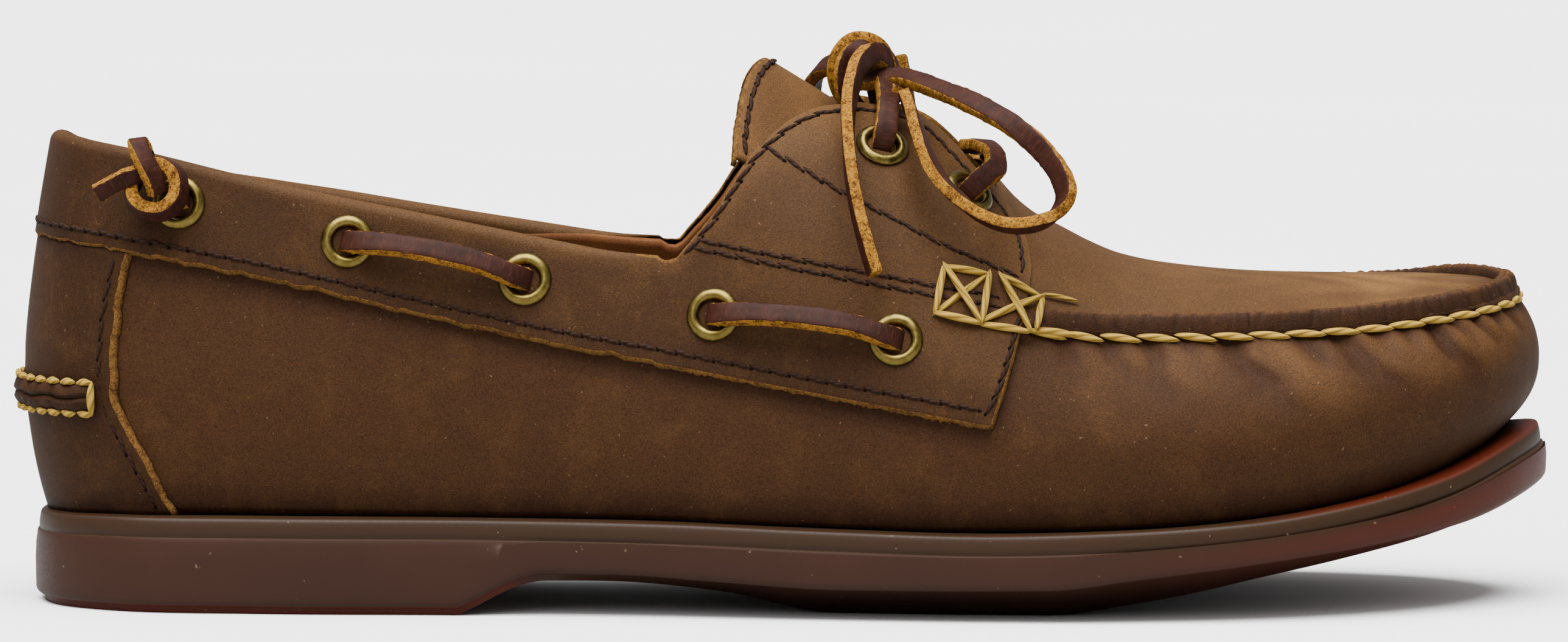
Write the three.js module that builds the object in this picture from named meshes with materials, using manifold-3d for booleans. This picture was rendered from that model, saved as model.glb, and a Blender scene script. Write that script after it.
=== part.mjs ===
// A man's right boat shoe: a hollow moccasin upper on a moulded rubber unit sole, with a quarter band and
// saddle over it, a heel counter, a raised toe seam, brass eyelets and a rawhide lace.
// Millimetres. X runs from the heel (0, at the back of the sole) to the toe, Y is the wearer's left, which is
// the medial side of a right shoe, and Z is up from the floor.
import * as THREE from "three";
import Module from "manifold-3d";
import { mergeVertices } from "three/addons/utils/BufferGeometryUtils.js";

const wasm = await Module();
wasm.setup();

// ---- Driving sizes ----
const GAP = 0.3; // between pieces that touch
const LEATHER = 1.8; // quarter band and saddle
const COUNTER = 1.2; // heel counter, skived thinner
const WALL = 2.2; // upper leather with its lining
const INSOLE = 3.0;
const TONGUE = 3.2;
const LACE = { width: 4.2, thick: 2.4 };
const EYELET = { hole: 3.0, barrel: 3.4, flange: 5.15, lift: 0.45, proud: 1.3, cut: 3.95 };
const LATERAL = -1;
const MEDIAL = 1;
const SIDES = { lateral: LATERAL, medial: MEDIAL };

const UP = new THREE.Vector3(0, 0, 1);

// ---- The last: one row for each section, from the back of the heel to the tip of the toe ----
// lateral, medial: half widths at the widest; bulge: height of the widest line; foot: how far the feather
// edge lies inside the widest line; top: how far the shoulder lies inside it; shoulderLateral,
// shoulderMedial: height of the shoulder, which is the seam in the forefoot; lean: 1 is a straight lean,
// more is rounder.
const LAST = [
  { heel: -0.3, lateral: 0, medial: 0, bulge: 50, foot: 4.2, top: 6.2,
    shoulderLateral: 93, shoulderMedial: 93, lean: 1.3 },
  { heel: 6, lateral: 17.5, medial: 17, bulge: 49, foot: 4.0, top: 6.4,
    shoulderLateral: 92.6, shoulderMedial: 92, lean: 1.3 },
  { heel: 20, lateral: 27.5, medial: 27, bulge: 46, foot: 3.4, top: 6.6,
    shoulderLateral: 90, shoulderMedial: 89, lean: 1.4 },
  { heel: 45, lateral: 32, medial: 31.5, bulge: 42, foot: 2.8, top: 6.6,
    shoulderLateral: 85, shoulderMedial: 83.6, lean: 1.5 },
  { heel: 80, lateral: 34.5, medial: 31.5, bulge: 37, foot: 2.4, top: 6.6,
    shoulderLateral: 77.4, shoulderMedial: 76.8, lean: 1.6 },
  { heel: 115, lateral: 38.5, medial: 31.5, bulge: 33, foot: 2.4, top: 6.6,
    shoulderLateral: 70.5, shoulderMedial: 70.8, lean: 1.8 },
  { heel: 150, lateral: 44.5, medial: 36.5, bulge: 31, foot: 2.6, top: 5.2,
    shoulderLateral: 63.4, shoulderMedial: 65.5, lean: 1.8 },
  { heel: 185, lateral: 49.5, medial: 44, bulge: 31, foot: 2.8, top: 7.6,
    shoulderLateral: 57, shoulderMedial: 60, lean: 1.9 },
  { heel: 215, lateral: 50.5, medial: 49, bulge: 32, foot: 3.0, top: 11.5,
    shoulderLateral: 54.5, shoulderMedial: 57.2, lean: 1.9 },
  { heel: 240, lateral: 47.5, medial: 48.5, bulge: 35, foot: 3.6, top: 11.2,
    shoulderLateral: 54.7, shoulderMedial: 57.3, lean: 1.9 },
  { heel: 262, lateral: 39.5, medial: 44, bulge: 39, foot: 4.4, top: 10,
    shoulderLateral: 55.3, shoulderMedial: 58.2, lean: 2.0 },
  { heel: 280, lateral: 27, medial: 35, bulge: 43.5, foot: 5.4, top: 8,
    shoulderLateral: 56.8, shoulderMedial: 59.6, lean: 2.1 },
  { heel: 291.5, lateral: 12, medial: 23, bulge: 46.5, foot: 6.0, top: 6,
    shoulderLateral: 58.4, shoulderMedial: 60, lean: 2.2 },
  { heel: 296.4, lateral: -7, medial: 7, bulge: 47.5, foot: 6.2, top: 5.2,
    shoulderLateral: 59.6, shoulderMedial: 59.6, lean: 2.2 },
];

// The roof over the shoulders: height of its crown, and the angle in degrees at which it leaves the shoulder.
const ROOF = [
  { heel: -0.3, crown: 93, angle: 45 },
  { heel: 20, crown: 97.5, angle: 55 },
  { heel: 80, crown: 96, angle: 66 },
  { heel: 115, crown: 101, angle: 70 },
  { heel: 137, crown: 105, angle: 74 },
  { heel: 150, crown: 103.6, angle: 74 },
  { heel: 165, crown: 98.6, angle: 73 },
  { heel: 176, crown: 94, angle: 68 },
  { heel: 184, crown: 88, angle: 62 },
  { heel: 188, crown: 82, angle: 57 },
  { heel: 192, crown: 77.4, angle: 50 },
  { heel: 196, crown: 74.2, angle: 45 },
  { heel: 201, crown: 71.6, angle: 40 },
  { heel: 207, crown: 68.4, angle: 34 },
  { heel: 213, crown: 65.9, angle: 29 },
  { heel: 222, crown: 63.9, angle: 24 },
  { heel: 240, crown: 62, angle: 20 },
  { heel: 262, crown: 61.2, angle: 18 },
  { heel: 280, crown: 60.6, angle: 16 },
  { heel: 297, crown: 59.6, angle: 14 },
];

// Height of the feather edge, where the upper stands on the sole.
const FEATHER = [
  { heel: -5, height: 18.5 },
  { heel: 3, height: 18.5 },
  { heel: 20, height: 19.0 },
  { heel: 45, height: 19.2 },
  { heel: 115, height: 19.0 },
  { heel: 150, height: 18.1 },
  { heel: 185, height: 17.4 },
  { heel: 215, height: 18.2 },
  { heel: 240, height: 20.2 },
  { heel: 262, height: 23.8 },
  { heel: 274, height: 27.2 },
  { heel: 284, height: 31.2 },
  { heel: 290, height: 34.6 },
  { heel: 300, height: 40.6 },
];

// The sole's plan, and the height of its rim's outer edge.
const SOLE = [
  { heel: 0, lateral: 0, medial: 0, rim: 17.8 },
  { heel: 5, lateral: 18.5, medial: 18.5, rim: 18.1 },
  { heel: 18, lateral: 29.5, medial: 29, rim: 18.5 },
  { heel: 45, lateral: 35, medial: 34, rim: 18.6 },
  { heel: 84, lateral: 37.4, medial: 32.6, rim: 18.6 },
  { heel: 100, lateral: 39, medial: 32, rim: 18.5 },
  { heel: 125, lateral: 42.4, medial: 33, rim: 18.2 },
  { heel: 150, lateral: 47, medial: 37.5, rim: 17.5 },
  { heel: 185, lateral: 52, medial: 46, rim: 16.8 },
  { heel: 213, lateral: 53, medial: 51, rim: 17.6 },
  { heel: 238, lateral: 50, medial: 51.6, rim: 19.2 },
  { heel: 260, lateral: 42, medial: 47.4, rim: 22.3 },
  { heel: 278, lateral: 30, medial: 39, rim: 26.6 },
  { heel: 292, lateral: 13, medial: 25, rim: 32 },
  { heel: 298, lateral: -6.5, medial: 6.5, rim: 34.6 },
];

// Underside: lower edge of the side wall, and the tread, which touches the floor under heel and forefoot.
// inset: how far the tread lies inside the plan; brow: where the slope from the tread meets the wall's lower
// edge.
const UNDERSIDE = [
  { heel: 0, edge: 1.6, tread: 0, inset: 1.9, brow: 1.7 },
  { heel: 84, edge: 1.6, tread: 0, inset: 1.9, brow: 1.7 },
  { heel: 86.5, edge: 2.6, tread: 1.1, inset: 2.2, brow: 1.8 },
  { heel: 97.5, edge: 7.8, tread: 6.2, inset: 2.6, brow: 2 },
  { heel: 101, edge: 8.5, tread: 6.8, inset: 3, brow: 2.2 },
  { heel: 114, edge: 8.5, tread: 6.4, inset: 8, brow: 3 },
  { heel: 135, edge: 7.4, tread: 4.2, inset: 14, brow: 4 },
  { heel: 158, edge: 6.3, tread: 0, inset: 17, brow: 4 },
  { heel: 198, edge: 6.6, tread: 0, inset: 17, brow: 4 },
  { heel: 215, edge: 8.6, tread: 2.2, inset: 17, brow: 4 },
  { heel: 240, edge: 11.6, tread: 7, inset: 16, brow: 4 },
  { heel: 262, edge: 14.4, tread: 11.6, inset: 12, brow: 4 },
  { heel: 280, edge: 17.6, tread: 16, inset: 8, brow: 4 },
  { heel: 298, edge: 23.6, tread: 22.6, inset: 6, brow: 3 },
];

// Rings of the sole's wall, from the tread up. inside is how far each lies in from the plan, in millimetres
// or as a column of the underside; it widens by half towards the tip of the toe.
const SOLE_RINGS = [
  { inside: "inset", at: "tread", lift: 0 },
  { inside: "brow", at: "edge", lift: -0.2 },
  { inside: 0.9, at: "edge", lift: -0.2 },
  { inside: 0.1, at: "edge", lift: 0.9 },
  { inside: 0.0, at: "middle", lift: 0 },
  { inside: 0.5, at: "rim", lift: -3.9 },
  { inside: 0.9, at: "rim", lift: -3.5 },
  { inside: 1.2, at: "rim", lift: -0.5 },
  { inside: 1.8, at: "rim", lift: 0 },
  { inside: 4.4, at: "feather", lift: -GAP },
];

// ---- Curves ----
// A smooth value from a table's column, without overshoot between its rows.
function column(table, name, x) {
  const last = table.length - 1;
  if (x <= table[0].heel) return table[0][name];
  if (x >= table[last].heel) return table[last][name];
  const i = table.findIndex((r, k) => x < table[k + 1].heel);
  const span = (k) => table[k + 1].heel - table[k].heel;
  const slope = (k) => (table[k + 1][name] - table[k][name]) / span(k);
  const tangent = (k) => {
    if (k === 0 || k === last) return slope(Math.min(k, last - 1));
    const [before, after] = [slope(k - 1), slope(k)];
    if (before * after <= 0) return 0;
    const [wide, narrow] = [2 * span(k) + span(k - 1), span(k) + 2 * span(k - 1)];
    return (wide + narrow) / (wide / before + narrow / after);
  };
  const t = (x - table[i].heel) / span(i);
  const [a, b] = [table[i][name], table[i + 1][name]];
  const [ma, mb] = [tangent(i) * span(i), tangent(i + 1) * span(i)];
  return (
    a * (2 * t ** 3 - 3 * t ** 2 + 1) +
    ma * (t ** 3 - 2 * t ** 2 + t) +
    b * (3 * t ** 2 - 2 * t ** 3) +
    mb * (t ** 3 - t ** 2)
  );
}

// A closed plan through a table's rows: up the lateral side from the heel and back down the medial side.
function planOf(table) {
  const point = (r, side) => new THREE.Vector3(r.heel, side * (side === LATERAL ? r.lateral : r.medial), 0);
  const last = table.length - 1;
  const outward = table.map((r) => point(r, LATERAL));
  const back = table.slice(1, last).reverse().map((r) => point(r, MEDIAL));
  const curve = new THREE.CatmullRomCurve3([...outward, ...back], true, "chordal");
  const total = 2 * last;
  // station runs from 0 at the heel to 1 at the toe on each side
  const share = (side, station) =>
    (side === LATERAL ? station * last : (total - station * last) % total) / total;
  const at = (side, station) => curve.getPoint(share(side, station));
  const inward = (side, station) => {
    const step = 1e-4;
    const t = share(side, station);
    const along = curve.getPoint((t + step) % 1).sub(curve.getPoint((t - step + 1) % 1));
    return new THREE.Vector3(along.y, -along.x, 0).normalize().multiplyScalar(-1);
  };
  return { at, inward, last };
}

const lastPlan = planOf(LAST);
const solePlan = planOf(SOLE);

// A column of a table read at a station instead of a distance.
const atStation = (table, name, station) => {
  const rows = table.map((r, k) => ({ heel: k, [name]: r[name] }));
  return column(rows, name, station * (table.length - 1));
};
const last = (name, station) => atStation(LAST, name, station);
const featherAt = (x) => column(FEATHER, "height", x);

// ---- The form of the last ----
// A point on the upper's outer face at a height on one side.
function wallPoint(side, station, height) {
  const inward = lastPlan.inward(side, station);
  const base = lastPlan.at(side, station);
  const [bulge, lean] = [last("bulge", station), last("lean", station)];
  const foot = base.clone().addScaledVector(inward, last("foot", station));
  const floor = featherAt(foot.x);
  const shoulder = last(side === LATERAL ? "shoulderLateral" : "shoulderMedial", station);
  const inside =
    height < bulge
      ? last("foot", station) * ((bulge - height) / (bulge - floor)) ** 2.4
      : last("top", station) * ((height - bulge) / (shoulder - bulge)) ** lean;
  return base.addScaledVector(inward, inside).setZ(height);
}

function footHeight(side, station) {
  const inset = last("foot", station);
  const foot = lastPlan.at(side, station).addScaledVector(lastPlan.inward(side, station), inset);
  return featherAt(foot.x);
}

function shoulderPoint(side, station) {
  return wallPoint(side, station, last(side === LATERAL ? "shoulderLateral" : "shoulderMedial", station));
}

// The roof's section: an arch from the lateral shoulder over to the medial one.
function roofCurve(station) {
  const [from, to] = [shoulderPoint(LATERAL, station), shoulderPoint(MEDIAL, station)];
  const x = (from.x + to.x) / 2;
  const angle = THREE.MathUtils.degToRad(column(ROOF, "angle", x));
  const rise = Math.max(0, column(ROOF, "crown", x) - (from.z + to.z) / 2);
  const reach = rise / (0.75 * Math.sin(angle));
  const across = to.clone().sub(from).setZ(0).normalize();
  const handle = (p, way) =>
    p
      .clone()
      .addScaledVector(across, way * reach * Math.cos(angle))
      .addScaledVector(UP, reach * Math.sin(angle));
  return new THREE.CubicBezierCurve3(from, handle(from, 1), handle(to, -1), to);
}

const STATIONS_PER_ROW = 2;
const WALL_STEPS = 6;
const ROOF_STEPS = 8;
const stationCount = (LAST.length - 1) * STATIONS_PER_ROW;
const stations = Array.from({ length: stationCount + 1 }, (_, k) => k / stationCount);
const steps = (n) => Array.from({ length: n + 1 }, (_, k) => k / n);

// One section, from the lateral feather edge over the roof to the medial feather edge.
function section(station) {
  const wall = (side) => {
    const low = footHeight(side, station);
    const high = last(side === LATERAL ? "shoulderLateral" : "shoulderMedial", station);
    return steps(WALL_STEPS).map((t) => wallPoint(side, station, low + (high - low) * t));
  };
  const roof = roofCurve(station);
  const over = steps(ROOF_STEPS).slice(1, -1).map((t) => roof.getPoint(t));
  return [...wall(LATERAL), ...over, ...wall(MEDIAL).reverse()];
}

// A solid skin over a list of sections, grown outwards by a distance, with a floor dropped below its feet.
function skin(sections, grow = 0, drop = 0) {
  const points = [];
  const known = new Map();
  const faces = [];
  const id = (p) => {
    const key = p.toArray().map((v) => v.toFixed(3)).join();
    if (!known.has(key)) known.set(key, points.push(p.clone()) - 1);
    return known.get(key);
  };
  const face = (a, b, c) => {
    if (a !== b && b !== c && a !== c) faces.push([a, b, c]);
  };
  const quad = (a, b, c, d) => {
    face(a, b, c);
    face(a, c, d);
  };
  const grid = sections.map((s) => s.map(id));
  const across = grid[0].length - 1;
  for (let i = 0; i < grid.length - 1; i++)
    for (let j = 0; j < across; j++) quad(grid[i][j], grid[i + 1][j], grid[i + 1][j + 1], grid[i][j + 1]);
  const normals = points.map(() => new THREE.Vector3());
  for (const [a, b, c] of faces) {
    const n = points[b].clone().sub(points[a]).cross(points[c].clone().sub(points[a]));
    for (const k of [a, b, c]) normals[k].add(n);
  }
  points.forEach((p, k) => p.addScaledVector(normals[k].normalize(), grow));
  const lower = new Map();
  const below = (k) => {
    if (!drop) return k;
    if (!lower.has(k)) lower.set(k, points.push(points[k].clone().add(new THREE.Vector3(0, 0, -drop))) - 1);
    return lower.get(k);
  };
  for (let i = 0; i < grid.length - 1; i++) {
    const [a, b, c, d] = [grid[i][0], grid[i + 1][0], grid[i + 1][across], grid[i][across]];
    if (drop) {
      quad(a, below(a), below(b), b);
      quad(c, below(c), below(d), d);
    }
    quad(below(a), below(d), below(c), below(b));
  }
  return solidOf(points, faces);
}

// ---- Solids ----
function solidOf(points, faces) {
  return new wasm.Manifold(
    new wasm.Mesh({
      numProp: 3,
      vertProperties: new Float32Array(points.flatMap((p) => p.toArray())),
      triVerts: new Uint32Array(faces.flat()),
    }),
  );
}

function solidFrom(geometry) {
  const bare = geometry.index ? geometry.toNonIndexed() : geometry.clone();
  bare.deleteAttribute("normal");
  bare.deleteAttribute("uv");
  const merged = mergeVertices(bare, 1e-4);
  return new wasm.Manifold(
    new wasm.Mesh({
      numProp: 3,
      vertProperties: merged.attributes.position.array,
      triVerts: new Uint32Array(merged.index.array),
    }),
  );
}

function geometryOf(solid) {
  const mesh = solid.getMesh();
  const geometry = new THREE.BufferGeometry();
  geometry.setAttribute("position", new THREE.BufferAttribute(mesh.vertProperties, 3));
  geometry.setIndex(new THREE.BufferAttribute(mesh.triVerts, 1));
  geometry.computeVertexNormals();
  return geometry;
}

const REACH = 140; // half the depth of a prism that cuts right across the shoe

// A prism across the shoe, from an outline drawn in side view as [fromHeel, height] pairs.
function sidePrism(outline, from = -REACH, to = REACH) {
  const shape = new THREE.Shape(outline.map(([x, z]) => new THREE.Vector2(x, z)));
  const geometry = new THREE.ExtrudeGeometry(shape, { depth: to - from, bevelEnabled: false });
  return solidFrom(geometry.rotateX(Math.PI / 2).translate(0, to, 0));
}

// An upright prism, from an outline drawn in plan.
function planPrism(outline, low, high) {
  const shape = new THREE.Shape(outline.map(([x, y]) => new THREE.Vector2(x, y)));
  const block = new THREE.ExtrudeGeometry(shape, { depth: high - low, bevelEnabled: false });
  return solidFrom(block.translate(0, 0, low));
}

const smooth = (points, count) =>
  new THREE.SplineCurve(points.map(([x, y]) => new THREE.Vector2(x, y)))
    .getPoints(count)
    .map((p) => [p.x, p.y]);

// ---- Pattern lines, in side view ----
// The collar, from behind the heel to the throat, then the back edge of the saddle up to the top of the
// throat.
const collarLine = smooth(
  [[-20, 94.5], [4, 91.6], [26, 88.2], [48, 83.2], [70, 78.8], [91, 74.6], [112, 70.6], [125.5, 69.2]],
  16,
);
const saddleBack = smooth(
  [
    [126.5, 69.6], [133.6, 78.2], [137.3, 84], [141.6, 90], [147.5, 95.2], [154, 98], [162, 98.6],
    [172, 98.6],
  ],
  12,
);
const SKY = 150;
const collarOpening = sidePrism([...collarLine, ...saddleBack, [172, SKY], [-20, SKY]]);

// Lower edge of the quarter band, and the front edge of its saddle, which runs on up and back along the
// throat.
const bandLower = smooth(
  [
    [-20, 72.6], [1, 71.3], [18.7, 69.2], [45, 64.6], [82, 56.4], [105.7, 51.5], [129, 47.5],
    [160.5, 41.9], [184.5, 37.7],
  ],
  16,
);
const saddleFront = smooth(
  [
    [187.8, 38.6], [190, 45.4], [192.6, 54], [194.8, 62], [195.6, 68], [194.6, 73.2], [191.6, 78],
    [187.6, 83], [183.6, 87.2], [179.4, 90.8], [175, 94.2], [169, 97.2], [162, 98.9],
  ],
  20,
);
const quarterOutline = [...bandLower, ...saddleFront, [162, SKY], [-20, SKY]];

// Front edge of the heel counter.
const counterFront = smooth([[20.4, 72], [18.6, 57], [18.4, 45], [19.6, 39], [22.9, 31.8], [30.4, 17]], 8);

// The throat in plan: half its width about its middle. The upper closes it in front; the saddles run on.
const THROAT = { middle: 0.6, front: 189 };
const THROAT_ROWS = [
  { heel: 100, half: 20 },
  { heel: 148, half: 20 },
  { heel: 160, half: 16 },
  { heel: 168, half: 14.4 },
  { heel: 176, half: 13.8 },
  { heel: 184, half: 14 },
  { heel: 190, half: 15.6 },
  { heel: 198, half: 21 },
];
function throatSlot(front, inset = 0) {
  const rows = THROAT_ROWS.filter(({ heel }) => heel < front);
  const edge = (side) => rows.map(({ heel, half }) => [heel, THROAT.middle + side * (half - inset)]);
  const end = column(THROAT_ROWS, "half", front) - inset;
  const tip = [[front, THROAT.middle - end], [front, THROAT.middle + end]];
  return planPrism([...edge(LATERAL), ...tip, ...edge(MEDIAL).reverse()], 66, SKY);
}

// ---- Leather pieces ----
const sections = stations.map(section);
const form = (grow, drop = 0) => skin(sections, grow, drop);

// Everything above the feather edge, which is as low as the leather goes.
const featherLine = Array.from({ length: 33 }, (_, k) => -20 + k * 10.3125).map((x) => [x, featherAt(x)]);
const aboveSole = sidePrism([...featherLine, [310, SKY], [-20, SKY]]);

// Where each eyelet sits in side view. Both sides have the same seven; medialDrop is how much lower the
// medial one sits.
const EYELETS = [
  { name: "heel", x: 30.3, z: 79.4, medialDrop: 3 },
  { name: "side_1", x: 63.1, z: 72.1 },
  { name: "side_2", x: 97.4, z: 65.0 },
  { name: "side_3", x: 133.8, z: 58.6 },
  { name: "side_4", x: 168.9, z: 54.2 },
  { name: "throat_back", x: 166.4, z: 90.4 },
  { name: "throat_front", x: 183.2, z: 81.4 },
];

// The point and outward direction on the quarter band's face at a place in side view.
const bandFace = new THREE.Mesh(
  geometryOf(form(GAP + LEATHER)),
  new THREE.MeshStandardMaterial({ side: THREE.DoubleSide }),
);
function touch(side, x, z) {
  const from = new THREE.Vector3(x, side * REACH, z);
  const ray = new THREE.Raycaster(from, new THREE.Vector3(0, -side, 0));
  const hit = ray.intersectObject(bandFace)[0];
  return { point: hit.point, out: hit.face.normal.clone() };
}

const turnTo = (out) => new THREE.Quaternion().setFromUnitVectors(UP, out);
const eyeletPlaces = Object.entries(SIDES).flatMap(([sideName, side]) =>
  EYELETS.map(({ name, x, z, medialDrop = 0 }) => {
    const drop = side === MEDIAL ? medialDrop : 0;
    return { name: `eyelet_${sideName}_${name}`, ...touch(side, x, z - drop) };
  }),
);

// Every hole that the eyelets' barrels pass through.
function holes() {
  return eyeletPlaces.map(({ point, out }) => {
    const drill = new THREE.CylinderGeometry(EYELET.cut, EYELET.cut, 16, 8).rotateX(Math.PI / 2);
    return solidFrom(drill.applyQuaternion(turnTo(out)).translate(...point.toArray()));
  });
}
const drills = holes().reduce((all, one) => all.add(one));

function upper() {
  const shell = form(0).subtract(form(-WALL, 12));
  const holes = collarOpening.add(throatSlot(THROAT.front)).add(drills);
  return shell.intersect(aboveSole).subtract(holes);
}

const overlay = (thick) => form(GAP + thick).subtract(form(GAP, 12));

function quarterBand() {
  const whole = overlay(LEATHER).intersect(sidePrism(quarterOutline));
  return whole.subtract(collarOpening).subtract(throatSlot(198)).subtract(drills);
}

function heelCounter() {
  const lowered = bandLower.map(([x, z]) => [x, z - GAP]);
  const top = lowered.filter(([x]) => x < 21);
  const front = counterFront.filter(([, z]) => z < 68);
  const outline = sidePrism([...top, ...front, [30.4, 10], [-20, 10]]);
  return overlay(COUNTER).intersect(outline).intersect(aboveSole);
}

// ---- Swept pieces ----
// A closed sweep: a section of [side, up] pairs carried along points, each with its own side and up
// directions.
function sweep(frames, profile) {
  const points = frames.flatMap(({ at, across, up }) =>
    profile.map(([a, b]) => at.clone().addScaledVector(across, a).addScaledVector(up, b)),
  );
  const n = profile.length;
  const faces = [];
  for (let i = 0; i < frames.length - 1; i++)
    for (let j = 0; j < n; j++) {
      const k = (j + 1) % n;
      faces.push([i * n + j, i * n + k, (i + 1) * n + k], [i * n + j, (i + 1) * n + k, (i + 1) * n + j]);
    }
  const end = (frames.length - 1) * n;
  for (let j = 1; j < n - 1; j++) faces.push([0, j + 1, j], [end, end + j, end + j + 1]);
  const solid = solidOf(points, faces);
  return solid.volume() < 0 ? solidOf(points, faces.map(([a, b, c]) => [a, c, b])) : solid;
}

// The raised seam round the toe, from the saddle on the lateral side to the saddle on the medial side.
const SEAM = { width: 3.2, height: 3.9, lift: 1.0, start: 0.566 };
const RIDGE_STATIONS = 16;

function seamRidge() {
  const run = (side) => steps(RIDGE_STATIONS).map((t) => [side, SEAM.start + (1 - SEAM.start) * t]);
  const places = [...run(LATERAL), ...run(MEDIAL).reverse().slice(1)];
  const frames = places.map(([side, station]) => {
    const inward = lastPlan.inward(side, station);
    const at = shoulderPoint(side, station).addScaledVector(inward, SEAM.width / 2 - 0.4);
    return { at: at.addScaledVector(UP, SEAM.lift), across: inward, up: UP };
  });
  const half = SEAM.width / 2;
  const { height } = SEAM;
  const profile = [[-half, -1.4], [half, -1.4], [half, height - 1.6], [0.6, height - 1], [-half, height - 1.3]];
  return sweep(frames, profile).subtract(form(GAP));
}

// The hand-sewn roll across the back of the heel counter.
const HEEL_ROLL = { height: 41.4, half: 4.1, proud: 2.9, reach: 0.134 };

function heelRoll() {
  const count = 9;
  const reach = HEEL_ROLL.reach;
  const run = (side) => steps(count).map((t) => [side, reach * (1 - t)]);
  const places = [...run(LATERAL), ...run(MEDIAL).reverse().slice(1)];
  const frames = places.map(([side, station]) => {
    const inward = lastPlan.inward(side, station);
    return { at: wallPoint(side, station, HEEL_ROLL.height), across: inward.multiplyScalar(-1), up: UP };
  });
  const skinDepth = COUNTER + GAP;
  const { half, proud } = HEEL_ROLL;
  const [base, crest] = [skinDepth + 0.6, skinDepth + proud];
  const profile = [[-1, -half], [base, -half], [crest, -0.4], [crest, 0.4], [base, half], [-1, half]];
  return sweep(frames, profile).subtract(form(GAP + COUNTER + GAP));
}

// A closed solid through rings of points, each ring a front row and the same number of points back again.
function loft(rings) {
  const points = rings.flat();
  const n = rings[0].length;
  const faces = [];
  for (let i = 0; i < rings.length - 1; i++)
    for (let j = 0; j < n; j++) {
      const k = (j + 1) % n;
      faces.push([i * n + j, (i + 1) * n + j, (i + 1) * n + k], [i * n + j, (i + 1) * n + k, i * n + k]);
    }
  const end = (rings.length - 1) * n;
  for (let j = 0; j < n / 2 - 1; j++) {
    const [a, b, c, d] = [j, j + 1, n - 2 - j, n - 1 - j];
    faces.push([a, b, c], [a, c, d], [end + a, end + c, end + b], [end + a, end + d, end + c]);
  }
  const solid = solidOf(points, faces);
  return solid.volume() < 0 ? solidOf(points, faces.map(([a, b, c]) => [a, c, b])) : solid;
}

// ---- Tongue ----
// One row for each section: height of its ridge, half width, and how far its sides fall below the ridge.
const TONGUE_ROWS = [
  { heel: 143.6, ridge: 105.8, half: 27.5, fall: 18 },
  { heel: 150, ridge: 102, half: 27.5, fall: 17.5 },
  { heel: 158, ridge: 97.2, half: 27, fall: 17 },
  { heel: 167, ridge: 91.8, half: 26, fall: 15.5 },
  { heel: 176, ridge: 86.2, half: 24.5, fall: 13.5 },
  { heel: 185, ridge: 80.8, half: 22, fall: 11.5 },
  { heel: 193, ridge: 75.4, half: 19, fall: 8.5 },
];

function tongue() {
  const share = steps(10).map((t) => 2 * t - 1);
  const arc = ({ heel, ridge, half, fall }, sink) =>
    share.map((t) => {
      const shrink = 1 - sink / half;
      const [y, z] = [THROAT.middle + half * shrink * t, ridge - sink - fall * shrink * t * t];
      return new THREE.Vector3(heel - 6 * t * t, y, z);
    });
  const rings = TONGUE_ROWS.map((row) => [...arc(row, 0), ...arc(row, TONGUE).reverse()]);
  return loft(rings).intersect(form(-WALL - GAP, 12).add(throatSlot(THROAT.front - 1.5, 1.5)));
}

// ---- Sole and insole ----
// A ring of the sole: its point at a station on one side.
function solePoint(side, station, ring) {
  const edge = solePlan.at(side, station);
  const toe = Math.max(0, (edge.x - 230) / 68);
  const asked = typeof ring.inside === "string" ? column(UNDERSIDE, ring.inside, edge.x) : ring.inside;
  const inside = ring.at === "feather" ? asked + 3.4 * toe : asked * (1 + 0.5 * toe);
  const p = edge.addScaledVector(solePlan.inward(side, station), inside);
  const rim = atStation(SOLE, "rim", station);
  const edgeHeight = column(UNDERSIDE, "edge", p.x);
  const heights = {
    tread: column(UNDERSIDE, "tread", p.x),
    edge: edgeHeight,
    middle: edgeHeight + 0.42 * (rim - edgeHeight),
    rim,
    feather: featherAt(p.x),
  };
  return p.setZ(heights[ring.at] + ring.lift);
}

function outsole() {
  const count = (SOLE.length - 1) * 2;
  const soleStations = Array.from({ length: count + 1 }, (_, k) => k / count);
  const cross = [0.5, 0, -0.5];
  const points = [];
  const known = new Map();
  const id = (p) => {
    const key = p.toArray().map((v) => v.toFixed(3)).join();
    if (!known.has(key)) known.set(key, points.push(p) - 1);
    return known.get(key);
  };
  const between = (a, b, t, heightOf, lift) => {
    const p = a.clone().lerp(b, (1 - t) / 2);
    return p.setZ(heightOf(p.x) + lift);
  };
  const grid = soleStations.map((station) => {
    const up = (side) => SOLE_RINGS.map((ring) => solePoint(side, station, ring));
    const [lateral, medial] = [up(LATERAL), up(MEDIAL)];
    const top = SOLE_RINGS.length - 1;
    const over = cross.map((t) => between(lateral[top], medial[top], t, featherAt, -GAP));
    const tread = (x) => column(UNDERSIDE, "tread", x);
    const under = cross.map((t) => between(medial[0], lateral[0], t, tread, 0));
    return [...lateral, ...over, ...medial.reverse(), ...under].map(id);
  });
  const faces = [];
  const face = (a, b, c) => {
    if (a !== b && b !== c && a !== c) faces.push([a, b, c]);
  };
  for (let i = 0; i < grid.length - 1; i++)
    for (let j = 0; j < grid[0].length; j++) {
      const k = (j + 1) % grid[0].length;
      face(grid[i][j], grid[i + 1][j], grid[i + 1][k]);
      face(grid[i][j], grid[i + 1][k], grid[i][k]);
    }
  return solidOf(points, faces);
}

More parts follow.
